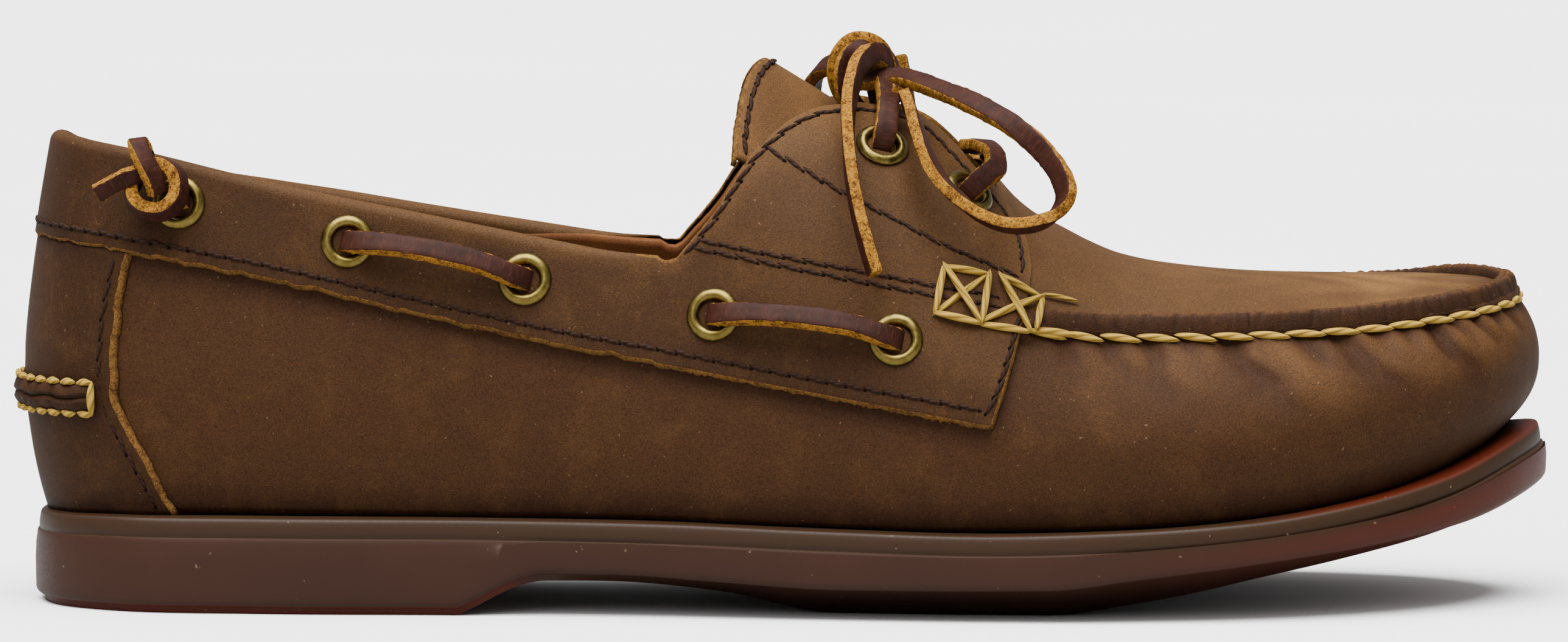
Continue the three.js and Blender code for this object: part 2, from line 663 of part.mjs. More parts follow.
function insole() {
  const inside = WALL + GAP;
  const low = stations.map((s) => {
    const foot = (side) =>
      wallPoint(side, s, footHeight(side, s)).addScaledVector(lastPlan.inward(side, s), inside + 1.2);
    return [foot(LATERAL), foot(MEDIAL)];
  });
  const profile = ([a, b], lift) => {
    const line = steps(4).map((t) => a.clone().lerp(b, t));
    return line.map((p) => p.setZ(featherAt(p.x) + lift));
  };
  const rows = low.map((pair) => [...profile(pair, 0), ...profile(pair, INSOLE).reverse()]).slice(1, -1);
  return loft(rows).intersect(form(-WALL - GAP, INSOLE));
}

// ---- Hardware ----
function eyelet() {
  const { hole, barrel, flange, lift, proud } = EYELET;
  const deep = -LEATHER - WALL - GAP;
  const profile = [
    [hole, deep],
    [barrel, deep],
    [barrel, lift],
    [flange, lift],
    [(flange + hole) / 2, proud],
    [hole, lift + 0.3],
    [hole, deep],
  ].map(([r, h]) => new THREE.Vector2(r, h));
  return new THREE.LatheGeometry(profile, 10).rotateX(Math.PI / 2);
}

// ---- Lace ----
// The lace's section: a flat strap with its corners taken off.
function laceSection({ width, thick } = LACE) {
  const [w, t] = [width / 2, thick / 2];
  const corner = 0.5;
  const [u, v] = [w - corner, t - corner];
  return [[-w, -v], [-u, -t], [u, -t], [w, -v], [w, v], [u, t], [-u, t], [-w, v]];
}

// A strap along points, with its flat face turned to the direction given at each point.
function strap(path) {
  const curve = new THREE.CatmullRomCurve3(path.map(({ at }) => at), false, "centripetal");
  const frames = steps(path.length - 1).map((t) => {
    const k = Math.min(path.length - 2, Math.floor(t * (path.length - 1)));
    const f = t * (path.length - 1) - k;
    const face = path[k].face.clone().lerp(path[k + 1].face, f);
    const along = curve.getTangent(t);
    const across = along.clone().cross(face).normalize();
    return { at: curve.getPoint(t), across, up: across.clone().cross(along).normalize() };
  });
  return sweep(frames, laceSection());
}

// A bar of lace that lies over two eyelets, standing clear of the leather between them.
function sideBar(from, to) {
  const stand = EYELET.proud + GAP + LACE.thick / 2 + 0.2;
  const path = steps(4).map((t) => {
    const face = from.out.clone().lerp(to.out, t).normalize();
    const bow = 1.6 * 4 * t * (1 - t);
    return { at: from.point.clone().lerp(to.point, t).addScaledVector(face, stand + bow), face };
  });
  return strap(path);
}

const place = (name) => eyeletPlaces.find((e) => e.name === name);

// The lace over the throat: from one eyelet of a pair, up past the saddle's edge and over to the other.
const CROSSINGS = {
  front: { pair: "throat_front", edge: { x: 188.4, y: 18.6, z: 88 }, middle: { x: 186.4, z: 91.4 } },
  back: { pair: "throat_back", edge: { x: 167.6, y: 17.2, z: 98.8 }, middle: { x: 166.6, z: 100 } },
};

function crossing({ pair, edge, middle }) {
  const stand = EYELET.proud + GAP + LACE.thick / 2 + 0.4;
  const half = (sideName) => {
    const { point, out } = place(`eyelet_${sideName}_${pair}`);
    const side = SIDES[sideName];
    const y = (share) => THROAT.middle + side * share * edge.y;
    return [
      { at: point.clone().addScaledVector(out, stand), face: out },
      { at: new THREE.Vector3(edge.x, y(1), edge.z), face: out.clone().add(UP).normalize() },
      { at: new THREE.Vector3((edge.x + middle.x) / 2, y(0.6), (edge.z + 2 * middle.z) / 3), face: UP },
    ];
  };
  const top = { at: new THREE.Vector3(middle.x, THROAT.middle, middle.z), face: UP };
  return strap([...half("lateral"), top, ...half("medial").reverse()]);
}

// ---- The bow and the knots, which lie free ----
// Each route is a list of points by hand: from the heel, to the left, up. The face is the way its smooth
// side looks.
const KNOT = { x: 163.6, y: -4, z: 107, half: { x: 6.8, y: 6.4, z: 5.2 } };
const CORDS = {
  bow_loop_lateral: {
    points: [
      [170.6, -12.6, 103], [173.4, -16.4, 102.4], [177.1, -20.8, 101.2], [182.2, -26.4, 99.4],
      [187.2, -31.6, 97.2], [192.2, -36.4, 94.3], [197, -40.6, 90.2], [200.4, -43.6, 85.6],
      [201.4, -45.4, 81.8], [199.4, -46, 78.4], [195.1, -46, 76.4], [190.1, -45.2, 76.2],
      [185.4, -43.4, 77.8], [181, -40.8, 80.8], [177.4, -38, 84.6], [174.8, -34.6, 89.2],
      [173.4, -30.4, 92.8], [172.4, -26, 96.6], [171, -20.6, 100.2],
    ],
    face: [0.3, 0.2, 1],
  },
  bow_loop_medial: {
    points: [
      [157.4, 3.2, 105], [154.6, 8.6, 104.2], [152.6, 15.4, 101.4], [152.2, 23, 96.8],
      [153, 31, 91], [156.6, 36.6, 86], [163, 38.4, 88], [166.4, 32.4, 94.2], [167.2, 23.6, 100.4],
      [165.6, 14, 104.6], [164.2, 6.4, 107.4],
    ],
    face: [-0.2, 0.3, 1],
  },
  lace_end_lateral: {
    points: [
      [163.8, -12.8, 107.4], [161.8, -18, 105.4], [160.6, -23.4, 102], [159.8, -29, 97.4],
      [159.8, -34.4, 91.6], [160.4, -39.6, 85], [161.6, -43.6, 78.4], [163.4, -46.4, 71.6],
      [164.8, -47.8, 67],
    ],
    face: [1, 0.1, 0.2],
  },
  lace_end_medial: {
    points: [
      [170.6, 3, 104.6], [171, 10, 104], [171.6, 18, 100.4], [172.4, 26, 94.6], [173.2, 33, 86.8],
      [173.8, 38.6, 78.6], [174, 42.8, 70.6],
    ],
    face: [1, 0.1, 0.2],
  },
};

function cord({ points, face }) {
  const way = new THREE.Vector3(...face).normalize();
  const path = points.map((p) => ({ at: new THREE.Vector3(...p), face: way }));
  return strap(path);
}

function knot() {
  const { x, y, z, half } = KNOT;
  return new THREE.SphereGeometry(1, 12, 8).scale(half.x, half.y, half.z).translate(x, y, z);
}

// The stopper knot that holds the lace at a heel eyelet, with its short cut end.
function heelKnot(sideName) {
  const { point, out } = place(`eyelet_${sideName}_heel`);
  const ball = new THREE.SphereGeometry(4.9, 10, 8).scale(1.0, 1.2, 0.7);
  ball.applyQuaternion(turnTo(out));
  const centre = point.clone().addScaledVector(out, EYELET.proud + GAP + 3.9);
  centre.add(new THREE.Vector3(-3.2, 0, 1));
  return ball.translate(...centre.toArray());
}

// ---- Materials ----
const material = (color, roughness, metalness = 0) =>
  new THREE.MeshStandardMaterial({ color, roughness, metalness });
const FINISH = {
  leather: material(0x6b4426, 0.62),
  seam: material(0x4a2c1a, 0.7),
  lining: material(0xa8714a, 0.75),
  rubber: material(0x5a3222, 0.4),
  brass: material(0x8a7a45, 0.32, 0.9),
  lace: material(0x4d2b22, 0.5),
};

// ---- Assembly ----
const shoe = new THREE.Group();
const bound = new THREE.Group(); // everything but the free lace, for the frame
const loose = new THREE.Group();
shoe.add(bound, loose);

function add(parent, name, made, finish) {
  const geometry = made.isBufferGeometry ? made : geometryOf(made);
  const mesh = new THREE.Mesh(geometry, FINISH[finish]);
  mesh.name = name;
  parent.add(mesh);
  return mesh;
}

add(bound, "outsole", outsole(), "rubber");
add(bound, "insole", insole(), "lining");
add(bound, "upper", upper(), "leather");
add(bound, "quarter_band", quarterBand(), "leather");
add(bound, "heel_counter", heelCounter(), "leather");
add(bound, "heel_roll", heelRoll(), "seam");
add(bound, "seam_ridge", seamRidge(), "seam");
add(bound, "tongue", tongue(), "leather");
for (const { name, point, out } of eyeletPlaces) {
  const ring = add(bound, name, eyelet(), "brass");
  ring.position.copy(point);
  ring.quaternion.copy(turnTo(out));
}
for (const side of Object.keys(SIDES)) {
  const at = (n) => place(`eyelet_${side}_side_${n}`);
  add(bound, `lace_bar_${side}_back`, sideBar(at(1), at(2)), "lace");
  add(bound, `lace_bar_${side}_front`, sideBar(at(3), at(4)), "lace");
  add(loose, `heel_knot_${side}`, heelKnot(side), "lace");
}
for (const [name, route] of Object.entries(CROSSINGS))
  add(bound, `lace_crossing_${name}`, crossing(route), "lace");
add(loose, "bow_knot", knot(), "lace");
for (const [name, route] of Object.entries(CORDS)) add(loose, name, cord(route), "lace");

// The origin is on the floor, under the middle of the shoe without its free lace.
const box = new THREE.Box3().setFromObject(bound);
const centre = box.getCenter(new THREE.Vector3());
shoe.position.set(-centre.x, -centre.y, -box.min.z);

export default shoe;
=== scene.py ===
import math

import bpy
import numpy as np
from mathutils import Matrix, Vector
from mathutils.bvhtree import BVHTree


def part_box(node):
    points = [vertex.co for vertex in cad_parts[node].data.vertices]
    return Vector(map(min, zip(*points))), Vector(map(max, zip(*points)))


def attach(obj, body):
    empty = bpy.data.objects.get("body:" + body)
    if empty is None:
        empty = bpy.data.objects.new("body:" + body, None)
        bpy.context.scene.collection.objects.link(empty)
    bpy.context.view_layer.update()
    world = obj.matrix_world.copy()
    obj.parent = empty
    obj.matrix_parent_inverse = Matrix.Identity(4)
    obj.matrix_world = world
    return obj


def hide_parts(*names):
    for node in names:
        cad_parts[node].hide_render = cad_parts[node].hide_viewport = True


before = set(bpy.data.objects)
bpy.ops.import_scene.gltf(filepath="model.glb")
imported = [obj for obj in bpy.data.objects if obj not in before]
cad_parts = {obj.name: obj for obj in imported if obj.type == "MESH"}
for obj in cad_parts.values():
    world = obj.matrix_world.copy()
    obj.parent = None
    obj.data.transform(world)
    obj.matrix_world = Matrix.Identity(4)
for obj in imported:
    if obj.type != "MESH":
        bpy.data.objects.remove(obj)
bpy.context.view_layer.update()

bl_info = {
    "name": "Boat Shoe",
    "version": (1, 0, 0),
    "blender": (4, 5, 0),
    "location": "View3D > Sidebar > Boat Shoe",
    "description": "A hand-sewn leather boat shoe with a rawhide lace",
    "category": "Add Mesh",
}

# Lengths are millimetres in the shoemaker's own frame until to_metres() moves them into the solids' frame:
# X forward from the back of the sole, Y to the wearer's left (medial on a right shoe), Z up from the floor.

# ---- Driving sizes, as the solids have them ----
GAP = 0.3  # between pieces that touch
LEATHER = 1.8  # quarter band and saddle
COUNTER = 1.2  # heel counter, skived thinner
WALL = 2.2  # upper leather with its lining
INSOLE = 3.0
LACE_WIDTH = 4.2
LACE_THICK = 2.4
LATERAL = -1  # the sign of Y on each side
MEDIAL = 1
SIDES = {"lateral": LATERAL, "medial": MEDIAL}
BAND_FACE = GAP + LEATHER  # how far the band's outer face stands off the last
MIDDLE = 0.6  # where the throat's middle lies across the shoe


# ---- Tables and smooth curves ----
def monotone(xs, ys, x):
    """A smooth value at x that never overshoots the rows."""
    x = np.clip(np.asarray(x, float), xs[0], xs[-1])
    span = np.diff(xs)
    slope = np.diff(ys) / span
    tangent = np.concatenate([[slope[0]], np.zeros(len(xs) - 2), [slope[-1]]])
    for k in range(1, len(xs) - 1):
        before, after = slope[k - 1], slope[k]
        if before * after > 0:
            wide, narrow = 2 * span[k] + span[k - 1], span[k] + 2 * span[k - 1]
            tangent[k] = (wide + narrow) / (wide / before + narrow / after)
    i = np.clip(np.searchsorted(xs, x, side="right") - 1, 0, len(span) - 1)
    t = (x - xs[i]) / span[i]
    from_slope, to_slope = tangent[i] * span[i], tangent[i + 1] * span[i]
    return (
        ys[i] * (2 * t**3 - 3 * t**2 + 1)
        + from_slope * (t**3 - 2 * t**2 + t)
        + ys[i + 1] * (3 * t**2 - 2 * t**3)
        + to_slope * (t**3 - t**2)
    )


class Table:
    """Rows of named sizes along the shoe."""

    def __init__(self, names, rows):
        self.columns = dict(zip(names.split(), np.array(rows, float).T))
        self.count = len(rows)

    def at(self, name, heel):
        """A column at a distance from the heel."""
        return monotone(self.columns["heel"], self.columns[name], heel)

    def at_station(self, name, station):
        """A column at a share, 0 to 1, of the way through the rows."""
        rows = np.arange(self.count, dtype=float)
        return monotone(rows, self.columns[name], np.asarray(station) * (self.count - 1))


# The last. lateral, medial: half widths at the widest; bulge: height of the widest line; foot, top: how far
# the feather edge and the shoulder lie inside it; shoulders: their heights; lean: 1 is a straight wall, and
# more is a rounder one.
LAST = Table(
    "heel lateral medial bulge foot top shoulder_lateral shoulder_medial lean",
    [
        (-0.3, 0, 0, 50, 4.2, 6.2, 93, 93, 1.3),
        (6, 17.5, 17, 49, 4.0, 6.4, 92.6, 92, 1.3),
        (20, 27.5, 27, 46, 3.4, 6.6, 90, 89, 1.4),
        (45, 32, 31.5, 42, 2.8, 6.6, 85, 83.6, 1.5),
        (80, 34.5, 31.5, 37, 2.4, 6.6, 77.4, 76.8, 1.6),
        (115, 38.5, 31.5, 33, 2.4, 6.6, 70.5, 70.8, 1.8),
        (150, 44.5, 36.5, 31, 2.6, 5.2, 63.4, 65.5, 1.8),
        (185, 49.5, 44, 31, 2.8, 7.6, 57, 60, 1.9),
        (215, 50.5, 49, 32, 3.0, 11.5, 54.5, 57.2, 1.9),
        (240, 47.5, 48.5, 35, 3.6, 11.2, 54.7, 57.3, 1.9),
        (262, 39.5, 44, 39, 4.4, 10, 55.3, 58.2, 2.0),
        (280, 27, 35, 43.5, 5.4, 8, 56.8, 59.6, 2.1),
        (291.5, 12, 23, 46.5, 6.0, 6, 58.4, 60, 2.2),
        (296.4, -7, 7, 47.5, 6.2, 5.2, 59.6, 59.6, 2.2),
    ],
)

# The roof over the shoulders: height of its crown, and the angle at which it leaves the shoulder.
ROOF = Table(
    "heel crown angle",
    [
        (-0.3, 93, 45), (20, 97.5, 55), (80, 96, 66), (115, 101, 70), (137, 105, 74), (150, 103.6, 74),
        (165, 98.6, 73), (176, 94, 68), (184, 88, 62), (188, 82, 57), (192, 77.4, 50), (196, 74.2, 45),
        (201, 71.6, 40), (207, 68.4, 34), (213, 65.9, 29), (222, 63.9, 24), (240, 62, 20),
        (262, 61.2, 18), (280, 60.6, 16), (297, 59.6, 14),
    ],
)

# Height of the feather edge, where the upper stands on the sole.
FEATHER = Table(
    "heel height",
    [
        (-5, 18.5), (3, 18.5), (20, 19), (45, 19.2), (115, 19), (150, 18.1), (185, 17.4), (215, 18.2),
        (240, 20.2), (262, 23.8), (274, 27.2), (284, 31.2), (290, 34.6), (300, 40.6),
    ],
)

# The sole's plan, and the height of its rim.
SOLE = Table(
    "heel lateral medial rim",
    [
        (0, 0, 0, 17.8), (5, 18.5, 18.5, 18.1), (18, 29.5, 29, 18.5), (45, 35, 34, 18.6),
        (84, 37.4, 32.6, 18.6), (100, 39, 32, 18.5), (125, 42.4, 33, 18.2), (150, 47, 37.5, 17.5),
        (185, 52, 46, 16.8), (213, 53, 51, 17.6), (238, 50, 51.6, 19.2), (260, 42, 47.4, 22.3),
        (278, 30, 39, 26.6), (292, 13, 25, 32), (298, -6.5, 6.5, 34.6),
    ],
)

# Underside of the sole: lower edge of its side, the tread, which touches the floor under heel and forefoot,
# and how far inside the plan the tread and the brow between them start.
UNDERSIDE = Table(
    "heel edge tread inset brow",
    [
        (0, 1.6, 0, 1.9, 1.7), (84, 1.6, 0, 1.9, 1.7), (86.5, 2.6, 1.1, 2.2, 1.8), (97.5, 7.8, 6.2, 2.6, 2),
        (101, 8.5, 6.8, 3, 2.2), (114, 8.5, 6.4, 8, 3), (135, 7.4, 4.2, 14, 4), (158, 6.3, 0, 17, 4),
        (198, 6.6, 0, 17, 4), (215, 8.6, 2.2, 17, 4), (240, 11.6, 7, 16, 4), (262, 14.4, 11.6, 12, 4),
        (280, 17.6, 16, 8, 4), (298, 23.6, 22.6, 6, 3),
    ],
)


class Plan:
    """A closed plan through a table's rows, up the lateral side and back down the medial one.

    A way runs from 0 at the heel to -1 at the toe on the lateral side, and to 1 on the medial side.
    """

    def __init__(self, table):
        c = table.columns
        lateral = np.stack([c["heel"], LATERAL * c["lateral"]], 1)
        medial = np.stack([c["heel"], MEDIAL * c["medial"]], 1)[-2:0:-1]
        self.points = np.concatenate([lateral, medial])
        before, after = np.roll(self.points, 1, 0), np.roll(self.points, -1, 0)
        self.span = np.linalg.norm(after - self.points, axis=1)[:, None]
        span_before = np.roll(self.span, 1, 0)
        self.tangent = (
            (self.points - before) / span_before
            - (after - before) / (span_before + self.span)
            + (after - self.points) / self.span
        )

    def at(self, way):
        """The plan's point at a way."""
        n = len(self.points)
        place = (-np.asarray(way, float) / 2) % 1 * n
        i = np.floor(place).astype(int) % n
        t = (place - np.floor(place))[..., None]
        k = (i + 1) % n
        return (
            self.points[i] * (2 * t**3 - 3 * t**2 + 1)
            + self.tangent[i] * self.span[i] * (t**3 - 2 * t**2 + t)
            + self.points[k] * (3 * t**2 - 2 * t**3)
            + self.tangent[k] * self.span[i] * (t**3 - t**2)
        )

    def inward(self, way):
        """The direction straight into the plan at a way."""
        step = 2e-4
        along = self.at(np.asarray(way) - step) - self.at(np.asarray(way) + step)
        across = np.stack([-along[..., 1], along[..., 0]], -1)
        return across / np.linalg.norm(across, axis=-1, keepdims=True)


LAST_PLAN = Plan(LAST)
SOLE_PLAN = Plan(SOLE)


def maker_origin():
    """Where the maker's origin, behind the heel, lies in the solids' frame, from the box of the sole."""
    low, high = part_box("outsole")
    ways = np.linspace(-1, 1, 4 * (SOLE.count - 1) + 1)
    y = SOLE_PLAN.at(ways)[:, 1]
    return np.array([low.x * 1000, (low.y + high.y) * 500 - (y.min() + y.max()) / 2, low.z * 1000])


ORIGIN = maker_origin()


def to_metres(points):
    """Millimetres in the maker's frame as metres in the solids' frame."""
    return (np.asarray(points, float) + ORIGIN) / 1000


def smooth_line(points, count=240):
    """A curve through given points, open at both ends."""
    p = np.array(points, float)
    p = np.concatenate([p[:1] * 2 - p[1:2], p, p[-1:] * 2 - p[-2:-1]])
    place = np.linspace(0, len(points) - 1, count)
    i = np.minimum(place.astype(int), len(points) - 2)
    t = (place - i)[:, None]
    a, b, c, d = p[i], p[i + 1], p[i + 2], p[i + 3]
    return 0.5 * (2 * b + (c - a) * t + (2 * a - 5 * b + 4 * c - d) * t**2 + (3 * b - a - 3 * c + d) * t**3)


def lengths(points):
    """Distance along a line at each of its points."""
    return np.concatenate([[0], np.cumsum(np.linalg.norm(np.diff(points, axis=0), axis=1))])


def along_line(points, share):
    """The point at a share, 0 to 1, of a line's length."""
    run = lengths(points)
    asked = np.asarray(share) * run[-1]
    return np.stack([np.interp(asked, run, column) for column in points.T], -1)


def ease(low, high, x):
    """0 at low, 1 at high, and smooth between; low may be the larger."""
    t = np.clip((np.asarray(x, float) - low) / (high - low), 0, 1)
    return t * t * (3 - 2 * t)


def hump(x, centre, width):
    """1 at the centre, falling off smoothly to both sides."""
    return np.exp(-(((x - centre) / width) ** 2))


def mix(a, b, t):
    """The value a share of the way from a to b."""
    return a + (b - a) * t


# ---- The form of the last ----
def wrap(way):
    """The same way, brought between -1 and 1."""
    return (np.asarray(way, float) + 1) % 2 - 1


def shoulder(way):
    """Height of the shoulder, which is the toe seam in the forefoot."""
    way = wrap(way)
    low, high = (LAST.at_station("shoulder_" + side, np.abs(way)) for side in SIDES)
    return np.where(way < 0, low, high)


def foot_height(way):
    """Height of the feather edge."""
    foot = LAST.at_station("foot", np.abs(wrap(way)))[..., None]
    return FEATHER.at("height", (LAST_PLAN.at(way) + LAST_PLAN.inward(way) * foot)[..., 0])


def wall_point(way, z):
    """A point on the upper's outer face at a height."""
    way, z = wrap(way), np.asarray(z, float)
    value = {name: LAST.at_station(name, np.abs(way)) for name in ("bulge", "foot", "top", "lean")}
    below = np.clip((value["bulge"] - z) / (value["bulge"] - foot_height(way)), 0, None)
    above = np.clip((z - value["bulge"]) / (shoulder(way) - value["bulge"]), 0, None)
    inside = value["foot"] * below**2.4 + value["top"] * above ** value["lean"]
    xy = LAST_PLAN.at(way) + LAST_PLAN.inward(way) * inside[..., None]
    return np.concatenate([xy, np.broadcast_to(z, inside.shape)[..., None]], -1)


def unit(v):
    """A vector, or rows of them, at length 1."""
    return v / np.maximum(np.linalg.norm(v, axis=-1, keepdims=True), 1e-9)


def wall_normal(way, z):
    """The direction straight out of the wall."""
    step, rise = 1e-3, 0.2
    along = wall_point(np.asarray(way) - step, z) - wall_point(np.asarray(way) + step, z)
    up = wall_point(way, np.asarray(z) + rise) - wall_point(way, np.asarray(z) - rise)
    return unit(np.cross(along, up))


def wall_face(way, z, grow=0.0):
    """A point on the wall grown outwards by a distance."""
    return wall_point(way, z) + wall_normal(way, z) * np.asarray(grow, float)[..., None]


def roof_point(station, t):
    """A point on the arch from the lateral shoulder over to the medial one."""
    station, t = np.asarray(station, float), np.asarray(t, float)[..., None]
    start, end = wall_point(-station, shoulder(-station)), wall_point(station, shoulder(station - 1e-9))
    x = (start[..., 0] + end[..., 0]) / 2
    angle = np.radians(ROOF.at("angle", x))
    rise = np.maximum(0, ROOF.at("crown", x) - (start[..., 2] + end[..., 2]) / 2)
    reach = rise / (0.75 * np.sin(angle))
    across = end - start
    across[..., 2] = 0
    across = unit(across)
    lift = (reach * np.sin(angle))[..., None] * np.array([0, 0, 1.0])
    lean = (reach * np.cos(angle))[..., None] * across
    a, b = start + lean + lift, end - lean + lift
    return start * (1 - t) ** 3 + 3 * a * t * (1 - t) ** 2 + 3 * b * t**2 * (1 - t) + end * t**3


# A close lattice of the whole form, which side-view lines are thrown onto.
FORM_STATIONS, WALL_STEPS, ROOF_STEPS = 300, 16, 44
RAY_START = 150.0  # how far to the side a thrown line starts
RAY_STEP = 0.25  # how far a line that misses the form is moved back towards it, and how often
RAY_TRIES = 60
LOW_PART = 40.0  # below this height a line that misses has passed under the form, not over it


def form_lattice():
    """Points and outward normals over both walls and the roof."""
    station = np.linspace(0.004, 0.998, FORM_STATIONS)[:, None]
    rise = np.linspace(0, 1, WALL_STEPS + 1)[None, :]
    walls = []
    for sign in (LATERAL, MEDIAL):
        way = np.broadcast_to(sign * station, (FORM_STATIONS, WALL_STEPS + 1))
        low, high = foot_height(way), shoulder(way)
        walls.append(wall_point(way, low + (high - low) * rise))
    over = np.linspace(0, 1, ROOF_STEPS + 1)[1:-1][None, :]
    s, t = np.broadcast_arrays(station, over)
    points = np.concatenate([walls[0], roof_point(s, t), walls[1][:, ::-1]], 1)
    normal = unit(np.cross(np.gradient(points, axis=0), np.gradient(points, axis=1)))
    return points, normal


LATTICE, LATTICE_NORMAL = form_lattice()
_trees = {}


def form_tree(grow):
    """The form grown outwards, ready to throw lines onto; each is built once."""
    key = round(grow, 3)
    if key not in _trees:
        rows, columns = LATTICE.shape[:2]
        index = np.arange(rows * columns).reshape(rows, columns)
        quads = np.stack([index[:-1, :-1], index[1:, :-1], index[1:, 1:], index[:-1, 1:]], -1).reshape(-1, 4)
        points = (LATTICE + LATTICE_NORMAL * grow).reshape(-1, 3)
        _trees[key] = BVHTree.FromPolygons(points.tolist(), quads.tolist())
    return _trees[key]


def side_face(side, x, z, grow=0.0):
    """Points on the grown form where lines drawn in side view meet it, with the outward normals there."""
    x, z = np.broadcast_arrays(np.asarray(x, float), np.asarray(z, float))
    grow = np.broadcast_to(grow, x.shape)
    points, normals = np.empty(x.shape + (3,)), np.empty(x.shape + (3,))
    for k in np.ndindex(x.shape):
        height = z[k]
        for _ in range(RAY_TRIES):
            start = Vector((x[k], side * RAY_START, height))
            hit, normal, _, _ = form_tree(grow[k]).ray_cast(start, Vector((0, -side, 0)))
            if hit is not None:
                break
            height += RAY_STEP if height < LOW_PART else -RAY_STEP
        if hit is None:
            raise ValueError(f"no leather at {x[k]:.1f}, {z[k]:.1f}")
        points[k] = hit
        normals[k] = normal if normal.y * side > 0 else -normal
    return points, normals


HALF_WAY = np.linspace(0, 1, 1501)  # close steps from heel to toe


def way_at(side, x):
    """How far round a side the last's plan reaches a distance from the heel."""
    plan = LAST_PLAN.at(side * HALF_WAY)
    top = int(np.argmax(plan[:, 0]))
    return side * np.interp(x, plan[: top + 1, 0], HALF_WAY[: top + 1])


def toe_distance(way):
    """Distance round the last's plan from the tip of the toe."""
    way = wrap(way)
    result = np.empty(way.shape)
    for side in (LATERAL, MEDIAL):
        run = lengths(LAST_PLAN.at(side * HALF_WAY))
        here = way > 0 if side == MEDIAL else way <= 0
        result = np.where(here, run[-1] - np.interp(np.abs(way), HALF_WAY, run), result)
    return result


def way_from_toe(side, distance):
    """The way at a distance round a side from the tip of the toe."""
    run = lengths(LAST_PLAN.at(side * HALF_WAY))
    return side * np.interp(run[-1] - np.asarray(distance, float), run, HALF_WAY)


# ---- Pattern lines, in side view ----
COLLAR = smooth_line(
    [(-20, 94.5), (4, 91.6), (26, 88.2), (48, 83.2), (70, 78.8), (91, 74.6), (112, 70.6), (125.5, 69.2)]
)
SADDLE_BACK = smooth_line(
    [(126.5, 69.6), (133.6, 78.2), (137.3, 84), (141.6, 90), (147.5, 95.2), (154, 98), (162, 98.6)], 120
)
BAND_LOWER = smooth_line(
    [(-20, 72.6), (1, 71.3), (18.7, 69.2), (45, 64.6), (82, 56.4), (105.7, 51.5), (129, 47.5), (160.5, 41.9),
     (186.4, 37.3)]
)
SADDLE_FRONT = smooth_line([(187.4, 37.8), (190, 45.4), (192.6, 54), (194.8, 62), (195.4, 66.5)], 80)
THROAT_EDGE = smooth_line(
    [(195.4, 66.5), (194.6, 72.6), (192, 77.6), (188.4, 82.4), (184.2, 86.6), (181, 90.4), (175.9, 94.8),
     (169.6, 97.2), (162, 98.7)],
    120,
)
# How much lower the collar is on the medial side, by distance from the heel.
COLLAR_DIP = np.array(
    [(-0.3, 0), (3, 1.6), (6, 2.6), (20, 4.0), (30, 4.0), (45, 3.0), (60, 2.1), (75, 1.6), (90, 1.0),
     (105, 0.4),
     (125, 0)]
)
MEDIAL_HEEL_DROP = 3.0  # the medial heel eyelet sits this much lower
COUNTER_FRONT = smooth_line([(20.4, 72), (18.6, 57), (18.4, 45), (19.6, 39), (22.9, 31.8), (30.4, 17)])
JOIN = 122.0  # where the band under the collar runs into the saddle


def collar_height(way):
    """Height of the collar; the medial side is a little lower round the heel."""
    way = wrap(way)
    x = LAST_PLAN.at(way)[..., 0]
    dip = monotone(COLLAR_DIP[:, 0], COLLAR_DIP[:, 1], np.clip(x, COLLAR_DIP[0, 0], COLLAR_DIP[-1, 0]))
    return height_on(COLLAR, x) - np.where(way > 0, dip, 0)


def height_on(line, x):
    """Height of a side-view line at a distance from the heel."""
    return np.interp(x, line[:, 0], line[:, 1])


def counter_front(z):
    """How far forward the heel counter reaches at a height."""
    return np.interp(z, COUNTER_FRONT[::-1, 1], COUNTER_FRONT[::-1, 0])


# ---- Mesh work ----
def deselect():
    """Leaves edit mode with nothing selected."""
    if bpy.context.object and bpy.context.object.mode != "OBJECT":
        bpy.ops.object.mode_set(mode="OBJECT")
    bpy.ops.object.select_all(action="DESELECT")


def activate(piece):
    """Selects one piece and nothing else."""
    deselect()
    piece.select_set(True)
    bpy.context.view_layer.objects.active = piece


def read_points(piece):
    """A piece's vertices, as its mesh holds them."""
    co = np.empty(len(piece.data.vertices) * 3)
    piece.data.vertices.foreach_get("co", co)
    return co.reshape(-1, 3)


def write_points(piece, points):
    """Moves a piece's vertices."""
    piece.data.vertices.foreach_set("co", np.asarray(points, float).ravel())
    piece.data.update()


def set_values(piece, name, values):
    """A float for each point, which the materials read as a mask."""
    data = piece.data.attributes.new(name, "FLOAT", "POINT")
    data.data.foreach_set("value", np.asarray(values, float).ravel())


WELD = 2e-6  # points closer than this, in metres, are one


def weld(piece, outward=False):
    """Closes a mesh's seams and poles, and turns a closed one's faces out."""
    activate(piece)
    bpy.ops.object.mode_set(mode="EDIT")
    bpy.ops.mesh.select_all(action="SELECT")
    bpy.ops.mesh.remove_doubles(threshold=WELD)
    if outward:
        bpy.ops.mesh.normals_make_consistent(inside=False)
    bpy.ops.object.mode_set(mode="OBJECT")


